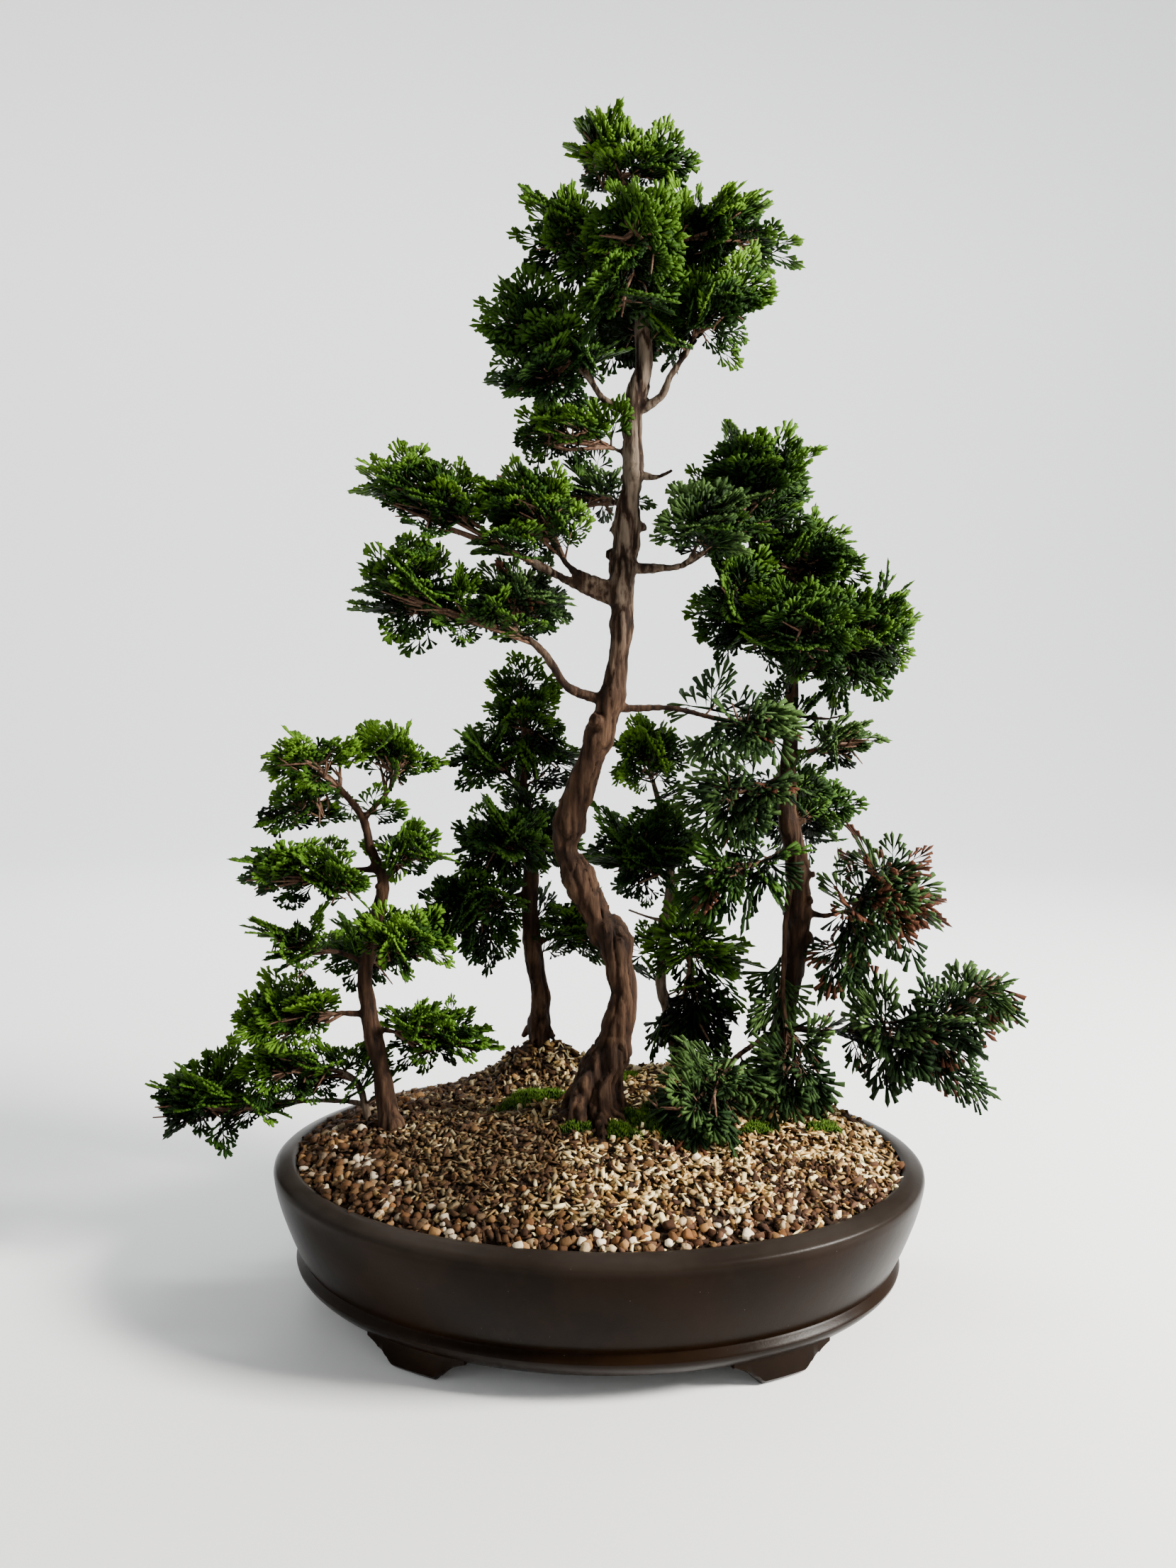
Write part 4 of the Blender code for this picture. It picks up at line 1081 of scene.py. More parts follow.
MAIN_TREE = Tree(
    "main_tree", RED_BARK,
    [(-3, -6, 84, 15), (-3, -6, 115, 18.5), (-3, -5, 131, 16.5), (6, -4, 151, 13.2), (11, -2, 170, 10.4),
     (13, 0, 193, 9.2), (10, 3, 216, 10.5), (2, 6, 236, 10.9), (-14, 8, 261, 10.3), (-24, 8, 284, 9.9),
     (-21, 6, 307, 10.0), (-15, 4, 327, 9.8), (-4, 1, 358, 9.3), (5, 0, 385, 8.3), (11, 0, 431, 7.7),
     (9, 1, 450, 9.0), (12, 2, 474, 8.6), (13, 3, 503, 7.5), (16, 4, 530, 6.8), (15, 4, 565, 6.8),
     (21, 3, 586, 6.0), (22, 2, 603, 5.5), (18, 0, 645, 4.0), (8, 0, 702, 2.2)],
    [Branch("crown_left", (2.8, 1.6), [(18, 0, 645), (0, -2, 656), (-10, -4, 662)]),
     Branch("crown_front", (2.8, 1.6), [(18, 0, 640), (15, -14, 650), (14, -24, 654)]),
     Branch("crown_right", (3.0, 1.6), [(17, 0, 650), (32, 0, 662), (44, 0, 668)]),
     Branch("crown_back", (3.0, 1.6), [(19, 1, 635), (20, 16, 655), (21, 28, 668)]),
     Branch("low_right", (3.6, 1.7), [
         (18, 3, 565), (33, 0, 573), (38, -3, 585), (47, -7, 597), (53, -8, 608)]),
     Branch("lobe_left", (3.6, 1.7), [(17, 4, 565), (-1, 0, 570), (-13, -6, 583), (-21, -9, 588)]),
     Branch("tufts_left", (2.4, 1.4), [(16, 4, 536), (4, 3, 541), (-6, 2, 546)]),
     Branch("dead_stub", (2.8, 1.5), [(15, 3, 526), (30, -1, 522), (41, -4, 527)]),
     Branch("a_inner", (2.6, 1.5), [(13, 3, 505), (6, 9, 508), (1, 16, 511)]),
     Branch("a_mid", (3.8, 1.7), [
         (9, 1, 453), (-14, -4, 459), (-25, -8, 467), (-31, -10, 478), (-36, -12, 486)]),
     Branch("a_left", (4.0, 1.8), [
         (6, 0, 445), (-18, -4, 453), (-35, -10, 462), (-54, -14, 471), (-72, -14, 480), (-90, -13, 491)]),
     Branch("b_left", (4.2, 1.8), [
         (5, 0, 380), (-22, -6, 389), (-32, -10, 401), (-42, -12, 414), (-55, -14, 423), (-84, -14, 429),
         (-99, -14, 433)]),
     Branch("b_mid", (2.4, 1.6), [(-54, -14, 422), (-57, -11, 429), (-58, -6, 434)]),
     Branch("c_top", (3.6, 1.8), [
         (12, 2, 466), (41, -2, 466), (54, -6, 472), (66, -8, 479), (79, -8, 490)]),
     Branch("c_low", (2.2, 1.6), [(53, -6, 471), (55, -11, 477), (57, -15, 482)]),
     Branch("d_end", (3.2, 1.6), [(4, 0, 377), (42, 0, 377), (68, -6, 372), (82, -10, 369)])],
    [Root(268, 46, 6.0), Root(200, 38, 5.5), Root(330, 38, 5.5), Root(85, 34, 5.5)],
    voxel=1.25, relief=1.3, buttresses=8, spurs=15)

RIGHT_TREE = Tree(
    "right_tree", RED_BARK,
    [(122, 73, 84, 9), (123, 73, 113, 10.2), (127, 72, 127, 8.8), (135, 69, 180, 8.2), (139, 67, 214, 8.2),
     (140, 65, 248, 9.0), (135, 64, 276, 8.0), (128, 62, 317, 6.6), (130, 60, 358, 5.4),
     (130, 60, 396, 4.2), (128, 58, 440, 3.0), (129, 56, 464, 2.4)],
    [Branch("r_crown_left", (2.8, 1.6), [(130, 60, 405), (115, 52, 415), (105, 45, 425)]),
     Branch("r_crown_right", (2.8, 1.6), [(130, 60, 398), (146, 54, 408), (156, 50, 416)]),
     Branch("r_crown_front", (2.8, 1.6), [(129, 59, 413), (128, 44, 420), (127, 32, 424)]),
     Branch("r_crown_back", (2.8, 1.6), [(129, 59, 408), (133, 74, 420), (136, 84, 426)]),
     Branch("dead_twig", (1.8, 1.1), [(130, 60, 374), (152, 56, 371), (166, 53, 374)]),
     Branch("r_fan_right", (2.2, 1.4), [(129, 61, 345), (140, 57, 348), (148, 53, 350)]),
     Branch("r_left_up", (2.8, 1.6), [(129, 62, 330), (118, 54, 328), (109, 47, 325)]),
     Branch("r_left_low", (2.8, 1.6), [(135, 64, 280), (120, 54, 276), (108, 45, 272)]),
     Branch("r_back_mid", (2.8, 1.6), [(132, 63, 296), (137, 78, 297), (140, 88, 299)]),
     Branch("r_right_mid", (3.4, 1.8), [(140, 66, 236), (156, 60, 233), (170, 54, 238)]),
     Branch("r_low_right", (3.4, 1.8), [(131, 71, 155), (147, 66, 150), (162, 59, 151), (184, 48, 157)]),
     Branch("r_low_centre", (3.0, 1.6), [
         (136, 64, 270), (130, 54, 250), (128, 52, 216), (127, 48, 182), (129, 42, 160)]),
     Branch("r_front_droop", (3.0, 1.6), [(131, 71, 148), (112, 50, 147), (92, 22, 142), (80, 2, 137)])],
    voxel=1.15, buttresses=6, spurs=10)

BACK_RIGHT_TREE = Tree(
    "back_right_tree", GREY_BARK,
    [(59, 96, 90, 5.5), (59, 96, 115, 6.4), (54, 95, 145, 4.8), (46, 94, 172, 4.3), (46, 93, 195, 3.9),
     (50, 92, 240, 3.4), (50, 92, 268, 3.0), (42, 90, 305, 2.4), (36, 89, 326, 2.0)],
    [Branch("br_mid", (2.2, 1.5), [(50, 92, 252), (42, 88, 258), (37, 86, 263)]),
     Branch("br_low_right", (2.2, 1.5), [(46, 93, 188), (56, 88, 193), (62, 85, 197)]),
     Branch("br_twig", (1.6, 1.0), [(48, 92, 222), (34, 89, 226), (20, 87, 231)])],
    voxel=0.9, slot="grey_bark", spurs=4)

BACK_LEFT_TREE = Tree(
    "back_left_tree", RED_BARK,
    [(-44, 105, 108, 8), (-44, 105, 136, 9.6), (-43, 105, 150, 6.6), (-43, 105, 166, 7.7),
     (-50, 104, 200, 7.3), (-52, 104, 228, 6.2), (-51, 104, 287, 4.2), (-57, 104, 318, 2.9),
     (-58, 104, 354, 2.2)],
    [Branch("bl_left", (2.2, 1.4), [(-57, 104, 316), (-66, 99, 325), (-72, 97, 330)]),
     Branch("bl_mid", (2.6, 1.5), [(-52, 104, 266), (-58, 94, 271), (-63, 88, 274)]),
     Branch("bl_back", (2.6, 1.5), [(-52, 104, 258), (-51, 115, 265), (-51, 122, 270)]),
     Branch("bl_low_left", (3.0, 1.7), [(-52, 104, 240), (-66, 97, 237), (-78, 92, 233)]),
     Branch("bl_low_right", (2.6, 1.5), [(-50, 104, 200), (-38, 106, 205), (-29, 108, 208)])],
    voxel=1.0, buttresses=5, spurs=5)

LEFT_TREE = Tree(
    "left_tree", RED_BARK,
    [(-137, 0, 76, 7), (-137, 0, 99, 8.4), (-140, 1, 118, 6.4), (-151, 4, 171, 5.6), (-155, 4, 203, 5.2),
     (-144, 4, 251, 4.6), (-144, 4, 268, 4.0), (-151, 4, 284, 3.4), (-156, 4, 304, 2.8),
     (-170, 0, 323, 2.2), (-178, -3, 332, 1.7)],
    [Branch("l_top_right", (2.2, 1.4), [(-156, 4, 303), (-147, 8, 313), (-139, 9, 323), (-136, 10, 331)]),
     Branch("l_third", (2.6, 1.5), [(-145, 4, 270), (-162, 0, 270), (-178, -3, 268)]),
     Branch("l_right_up", (2.2, 1.4), [(-144, 4, 260), (-137, 8, 267), (-134, 10, 271)]),
     Branch("l_fourth", (2.4, 1.5), [(-155, 4, 208), (-168, -2, 216), (-177, -5, 219)]),
     Branch("l_bright", (2.6, 1.5), [(-152, 4, 218), (-145, -4, 221), (-140, -9, 222)]),
     Branch("l_back", (2.6, 1.5), [(-155, 4, 198), (-158, 20, 202), (-160, 31, 204)]),
     Branch("l_right_low", (2.4, 1.5), [(-150, 4, 165), (-136, 10, 161), (-128, 14, 158)]),
     Branch("l_low_left", (2.6, 1.5), [(-151, 4, 174), (-168, 0, 176), (-180, -2, 175)])],
    voxel=1.0, relief=0.9, spurs=8)

YOUNG_STEM = Tree(
    "young_stem", GREY_BARK,
    [(-156, 22, 80, 2.8), (-156, 22, 97, 3.3), (-158, 21, 108, 2.9), (-163, 20, 123, 2.5),
     (-174, 18, 131, 2.1), (-187, 15, 134, 1.7)],
    [Branch("l_lowest", (2.2, 1.6), [
         (-158, 21, 108), (-176, 30, 107), (-198, 32, 106), (-220, 20, 106), (-240, 8, 108)])],
    voxel=0.8, relief=0.8, slot="grey_bark")

TREES = (MAIN_TREE, RIGHT_TREE, BACK_RIGHT_TREE, BACK_LEFT_TREE, LEFT_TREE, YOUNG_STEM)


# The soil


@dataclass
class Soil:
    """The heaped soil: a damp bed that keeps its solid's form, with loose grains on it."""

    half_length: float = 195.5
    half_width: float = 147.5
    rim: float = 86.6
    rise: float = 18.0
    swellings: tuple = ((0.0, -5.0, 9.0, 55.0), (115.0, 65.0, 14.0, 40.0),
                        (59.0, 96.0, 10.0, 40.0), (-44.0, 105.0, 35.0, 24.0))
    fade: float = 0.3

    def height(self, x: float, y: float) -> float:
        """The height of the heap's surface over a point."""
        share = (x / self.half_length) ** 2 + (y / self.half_width) ** 2
        if share >= 1.0:
            return self.rim
        ease = min(1.0, (1.0 - share) / self.fade)
        swell = 0.0
        for middle_x, middle_y, height, spread in self.swellings:
            distance = (x - middle_x) ** 2 + (y - middle_y) ** 2
            swell += height * math.exp(-distance / (2 * spread ** 2))
        return self.rim + self.rise * math.sqrt(1.0 - share) + ease * swell

    def build(self) -> Piece:
        """A finer copy of the soil's solid, crumbled."""
        node = frame["nodes"]["soil"]
        bed = node.copy()
        bed.data = node.data.copy()
        for key in list(bed.keys()):
            del bed[key]
        bed.parent = None
        entitle(bed, "soil_bed")
        bpy.context.scene.collection.objects.link(bed)
        merge(bed)
        modify(bed, "SUBSURF", subdivision_type="SIMPLE", levels=1, render_levels=1)
        for vertex in bed.data.vertices:
            if vertex.co.z > MIDDLE.z + (self.rim - 1.0) * MM:
                at = vertex.co / MM * 0.16
                vertex.co.z += 1.5 * MM * noise.fractal(at, 1.0, 2.0, 3) - 0.6 * MM
        smooth(bed, 60.0)
        return bed

    def dress(self, piece: Piece) -> None:
        """Finish the bed as wet earth, dark enough to paint the shade between the grains."""
        Earth().dress(piece, "earth_and_gap_shade")
        hand_over(piece, "grit", "soil")


SOIL = Soil()


def drop(ground: BVHTree, x: float, y: float) -> tuple:
    """Drop a ray on the ground over a place: the point and the normal where it lands."""
    return ground.ray_cast(to_frame((x, y, RAY_START)), Vector((0.0, 0.0, -1.0)))[:2]


def odd_grain(seed: Vector, size: float, wave: float, push: float, blunt: float = 0.0) -> Shape:
    """A pebble or crumb of about unit size: a cube primitive knocked out of true.

    Args:
        seed: where the noise is read.
        size: the cube's side.
        wave: how fine the noise is.
        push: how far it pushes the corners.
        blunt: the bevel's width.

    Returns:
        The grain.
    """
    bpy.ops.mesh.primitive_cube_add(size=size)
    grain = bpy.context.object
    if blunt:
        modify(grain, "BEVEL", width=blunt, segments=1)
    for vertex in grain.data.vertices:
        vertex.co += noise.noise_vector(vertex.co * wave + seed) * push
    return Shape.taken_from(grain)


def odd_chip(seed: int) -> Shape:
    """A flake of about unit length: a three-sided prism drawn out and skewed."""
    bpy.ops.mesh.primitive_cylinder_add(vertices=3, radius=0.6, depth=1.0)
    chip = bpy.context.object
    for vertex in chip.data.vertices:
        x, y, z = vertex.co
        narrow = 0.6 if z > 0 else 1.0
        shift = noise.noise_vector(vertex.co * 3.1 + Vector((seed * 3.7, 0.0, seed)))
        vertex.co = Vector((z, x * narrow, y * narrow)) + shift * 0.22
    merge(chip, 1e-5)
    return Shape.taken_from(chip)


class GrainKind(Enum):
    """The sorts of loose grain on the soil."""

    STRAW = "straw_chips"
    FINE = "fine_grit"
    PEBBLE = "pebbles"
    BARK = "bark_chips"
    STRAWS = "loose_straws"


@dataclass
class Grains:
    """Loose grains of one kind, scattered on the heap."""

    kind: GrainKind
    count: int
    sizes: tuple
    shapes: Sequence[Shape]
    finish: Grit
    lengthen: float = 1.0
    flatten: float = 1.0
    seed: int = 1
    unruly: float = 0.8
    # The lowest place for a grain, and its clearance from the wood.
    lowest: float = 84.0
    clear: float = 1.0

    def wanted(self, x: float, y: float) -> float:
        """How much of this kind lies at a place, from 0 to 1."""
        share = (x / SOIL.half_length) ** 2 + (y / SOIL.half_width) ** 2
        front = smoothstep(-20.0, -80.0, y + 0.25 * x) * smoothstep(0.66, 0.88, share)
        left = smoothstep(-95.0, -135.0, x) * smoothstep(0.40, 0.65, share)
        coarse = min(1.0, max(front, left)) * smoothstep(150.0, 95.0, x)
        patch = 0.5 + 0.9 * noise.noise(Vector((x * 0.03, y * 0.03, 4.0)))
        if self.kind is GrainKind.PEBBLE:
            return min(1.0, coarse * 1.05 + 0.02)
        if self.kind is GrainKind.BARK:
            mulch = smoothstep(-80.0, -125.0, x) * smoothstep(-15.0, 25.0, y)
            corner = smoothstep(70.0, 120.0, x) * smoothstep(-35.0, -70.0, y)
            return 0.24 * patch + 0.35 * coarse + 0.9 * mulch + 0.6 * corner
        if self.kind is GrainKind.STRAWS:
            return smoothstep(-60.0, 40.0, x) * patch
        if self.kind is GrainKind.STRAW:
            return (1.0 - 0.86 * coarse) * min(1.0, 0.55 + patch)
        return 1.0 - 0.55 * coarse

    def build(self, ground: BVHTree, blocked: BVHTree) -> Piece:
        """Scatter the grains.

        Args:
            ground: the soil's surface.
            blocked: the trunks and roots, which no grain lies in.

        Returns:
            The grains in one piece.
        """
        rng = np.random.default_rng(self.seed)
        copies = Copies()
        spots = []
        tries = 0
        while len(spots) < self.count and tries < self.count * 12:
            tries += 1
            angle = rng.uniform(0.0, math.tau)
            reach = math.sqrt(rng.uniform(0.0, 1.0))
            x = SOIL.half_length * reach * math.cos(angle)
            y = SOIL.half_width * reach * math.sin(angle)
            if rng.uniform() > self.wanted(x, y) or MOSS.covers(x, y):
                continue
            place, normal = drop(ground, x, y)
            if place is None or place.z < MIDDLE.z + self.lowest * MM:
                continue
            if blocked.find_nearest(place, self.clear * MM)[0] is None:
                spots.append((place, normal, x, y))
        sizes = rng.uniform(self.sizes[0], self.sizes[1], len(spots))
        kinds = rng.integers(0, len(self.shapes), len(spots))
        for index, shape in enumerate(self.shapes):
            chosen = [i for i in range(len(spots)) if kinds[i] == index]
            if not chosen:
                continue
            places = np.array([spots[i][0] for i in chosen])
            normals = np.array([spots[i][1] for i in chosen])
            size = sizes[chosen] * MM
            tilt = rng.normal(0.0, 1.0, (len(chosen), 3))
            ahead = np.cross(normals, tilt)
            ahead += normals * rng.uniform(-self.unruly, self.unruly, (len(chosen), 1))
            scale = np.stack([size * self.lengthen, size, size * self.flatten], axis=1)
            frames = frames_along(ahead, normals + 0.5 * self.unruly * tilt, scale)
            places = places + normals * (size * rng.uniform(0.05, 0.48, len(chosen)))[:, None]
            draws = rng.uniform(0.0, 1.0, len(chosen))
            damp_and_shade = np.array([self.dampness_and_shade(spots[i][2], spots[i][3], rng) for i in chosen])
            # How near the bed each point lies, for the painted shade on the grains' undersides.
            heights = np.einsum("kij,nj,ki->kn", frames, shape.points, normals)
            underside_shade = np.clip(0.42 - heights / size[:, None] * 1.3, 0.0, 1.0)
            copies.add(shape, places, frames, tone_rows(draws[:, None], damp_and_shade[:, None], underside_shade))
        return copies.piece(self.kind.value)

    def dampness_and_shade(self, x: float, y: float, rng: Draws) -> float:
        """How wet and dark a grain at a place is, from 0 to 1, with painted shade on the heap's left and in
        a hollow.

        Args:
            x, y: the place.
            rng: the source of the draws.

        Returns:
            The wetness, with the painted shade.
        """
        cloud = noise.noise(Vector((x * 0.045, y * 0.045, 9.0)))
        left = smoothstep(15.0, -80.0, x) * (0.7 if self.kind is GrainKind.PEBBLE else 1.0)
        hollow = math.exp(-((x + 48.0) ** 2 + (y + 50.0) ** 2) / 1700.0)
        # The clouds are wet patches; the heap's left and the hollow are painted shade.
        mean = 0.06 + 0.66 * cloud + 0.92 * left + 0.50 * hollow
        return float(np.clip(mean + rng.normal(0.0, 0.20), 0.0, 0.92))

    def dress(self, piece: Piece) -> None:
        """Finish the grains."""
        self.finish.dress(piece, self.kind.value + "_finish")
        hand_over(piece, "grit")


def smoothstep(low: float, high: float, value: float) -> float:
    """Rise smoothly from 0 at low to 1 at high, which may be the smaller."""
    share = min(1.0, max(0.0, (value - low) / (high - low)))
    return share * share * (3.0 - 2.0 * share)


@dataclass
class MossCushions:
    """Low cushions of moss, each a mound under a nap of fine points."""

    # Cushions as (x, y, half length, half width, turn in degrees, height).
    cushions: tuple = (
        (-42.0, 32.0, 27.0, 12.0, 8.0, 7.5), (-58.0, 18.0, 13.0, 8.0, 20.0, 5.5),
        (-15.0, -31.0, 11.0, 7.0, 0.0, 6.0), (14.0, -34.0, 12.0, 9.0, -15.0, 7.0),
        (29.0, -18.0, 22.0, 13.0, -35.0, 7.0), (52.0, 4.0, 26.0, 16.0, -30.0, 7.0),
        (74.0, 24.0, 17.0, 13.0, 0.0, 6.0), (104.0, -8.0, 12.0, 8.0, 20.0, 5.0),
        (150.0, 4.0, 13.0, 8.0, 30.0, 5.0), (86.0, 90.0, 16.0, 9.0, 0.0, 5.5),
        (14.0, 70.0, 18.0, 9.0, 30.0, 5.5))
    points_each: float = 4.4
    seed: int = 5

    def build(self, ground: BVHTree) -> Piece:
        """All the cushions in one piece."""
        rng = np.random.default_rng(self.seed)
        bpy.ops.mesh.primitive_cone_add(vertices=3, radius1=0.42, radius2=0.0, depth=1.0)
        point = Shape.taken_from(bpy.context.object)
        point.points[:, 2] += 0.5
        point.points = point.points[:, [2, 0, 1]]
        copies = Copies()
        mounds = []
        for number, cushion in enumerate(self.cushions):
            mounds.append(self.mound(number, cushion, ground))
            self.nap(cushion, point, copies, ground, rng)
        return join("moss", [copies.piece("moss_nap"), *mounds])

    def covers(self, x: float, y: float) -> bool:
        """Whether a place lies well inside a cushion."""
        for middle_x, middle_y, half_length, half_width, turn, _ in self.cushions:
            bend = math.radians(turn)
            across = (x - middle_x) * math.cos(bend) + (y - middle_y) * math.sin(bend)
            along = (y - middle_y) * math.cos(bend) - (x - middle_x) * math.sin(bend)
            if (across / half_length) ** 2 + (along / half_width) ** 2 < 0.62:
                return True
        return False

    def ground_point(self, x: float, y: float, ground: BVHTree) -> Vector:
        """The soil's surface over a place."""
        return drop(ground, x, y)[0] or to_frame((x, y, SOIL.height(x, y)))

    def lift(self, share: float, x: float, y: float, height: float) -> float:
        """How high a cushion stands over the soil at a share of its reach."""
        lumps = 0.75 + 0.5 * noise.noise(Vector((x * 0.12, y * 0.12, 2.0)))
        return height * max(0.0, 1.0 - share ** 2) ** 0.6 * lumps

    def spot(self, cushion: tuple, share: float, angle: float) -> tuple[float, float]:
        """A place on a cushion whose edge wavers."""
        x, y, half_length, half_width, turn, _ = cushion
        waver = 1.0 + 0.22 * math.sin(3.0 * angle + x) + 0.12 * math.sin(7.0 * angle + y)
        across = half_length * share * math.cos(angle) * waver
        along = half_width * share * math.sin(angle) * waver
        bend = math.radians(turn)
        return (x + across * math.cos(bend) - along * math.sin(bend),
                y + across * math.sin(bend) + along * math.cos(bend))

    def mound(self, number: int, cushion: tuple, ground: BVHTree) -> Piece:
        """The low mound under a cushion's nap.

        Args:
            number: the cushion's number.
            cushion: its numbers.
            ground: the soil's surface.

        Returns:
            The mound.
        """
        columns, rows = 24, 7

        def place(column: int, row: int) -> Vector:
            """The place of one point of the grid."""
            share = min(1.0, row / (rows - 1))
            x, y = self.spot(cushion, share, math.tau * column / columns)
            if row == rows:
                middle = self.ground_point(cushion[0], cushion[1], ground)
                return middle - Vector((0.0, 0.0, 2.0 * MM))
            point = to_frame((x, y, 0.0))
            point.z = self.ground_point(x, y, ground).z
            point.z += (self.lift(share, x, y, cushion[5]) - 0.9) * MM
            return point

        mound = shaped_grid(f"moss_mound_{number}", columns, rows, place)
        set_tone(mound, np.array([0.25, 0.5, 0.0]))
        return mound

    def nap(self, cushion: tuple, point: Shape, copies: Copies, ground: BVHTree, rng: Draws) -> None:
        """The fine points that stand on a cushion.

        Args:
            cushion: its numbers.
            point: the shape of one fine point.
            copies: where the copies are gathered.
            ground: the soil's surface.
            rng: the source of the draws.
        """
        count = int(cushion[2] * cushion[3] * self.points_each)
        shares = np.sqrt(rng.uniform(0.0, 1.08, count))
        angles = rng.uniform(0.0, math.tau, count)
        places = []
        for share, angle in zip(shares, angles):
            x, y = self.spot(cushion, share, angle)
            place = self.ground_point(x, y, ground)
            place.z += (self.lift(share, x, y, cushion[5]) - 1.1) * MM
            places.append(place)
        lean = rng.normal(0.0, 0.33, (count, 3))
        ahead = np.array([[0.0, 0.0, 1.0]]) + lean
        size = rng.uniform(1.8, 3.6, count) * MM
        scale = np.stack([size, size * 0.55, size * 0.55], axis=1)
        frames = frames_along(ahead, rng.normal(0.0, 1.0, (count, 3)), scale)
        light = (0.15 + 0.75 * point.points[:, 0])[None, :] * rng.uniform(0.55, 1.2, (count, 1))
        copies.add(point, np.array(places), frames, tone_rows(light, 0.0, 0.0))

    def dress(self, piece: Piece) -> None:
        """Finish the moss."""
        Moss().dress(piece, "moss_finish")
        hand_over(piece, "foliage_bright")


MOSS = MossCushions()


# The foliage


@dataclass(frozen=True)
class Manner:
    """The numbers of a habit of growth.

    low and high bound how far down and up a pad's boughs aim, rise lifts and sag bends their
    ends, level turns their planes flat, stray scatters the sprays' headings, uneven is how much
    the boughs' reach varies, onward bends them towards the stem's heading, crowd is how many
    there are, longer is how many sprays each has, and sizes are the sprays' lengths in
    millimetres.
    """

    low: float
    high: float
    rise: float
    sag: float
    level: float
    stray: float
    uneven: float
    onward: float
    crowd: float
    longer: float
    sizes: tuple
    slender: bool = False


class Habit(Enum):
    """How a frond's boughs and sprays grow."""

    MASSED = Manner(-0.80, 1.00, 0.26, 0.02, 0.25, 0.17, 0.14, 0.0, 0.66, 0.84, (24.0, 33.0))
    LAYERED = Manner(-0.50, 0.92, 0.30, 0.06, 0.42, 0.20, 0.18, 0.1, 0.60, 0.76, (22.0, 31.0))
    DROOPING = Manner(-0.75, 0.80, -0.10, 0.30, 0.50, 0.24, 0.22, 0.45, 0.41, 0.66, (28.0, 41.0), True)


@dataclass
class Bough:
    """A flat fan of sprays along a thin twig."""

    start: Array
    end: Array
    normal: Array
    sprays: int

    def route(self, sag: float, share: float) -> Array:
        """A point of the bough's twig, which sags towards its end."""
        point = self.start + (self.end - self.start) * share
        point[2] -= sag * np.linalg.norm(self.end - self.start) * share * share
        return point


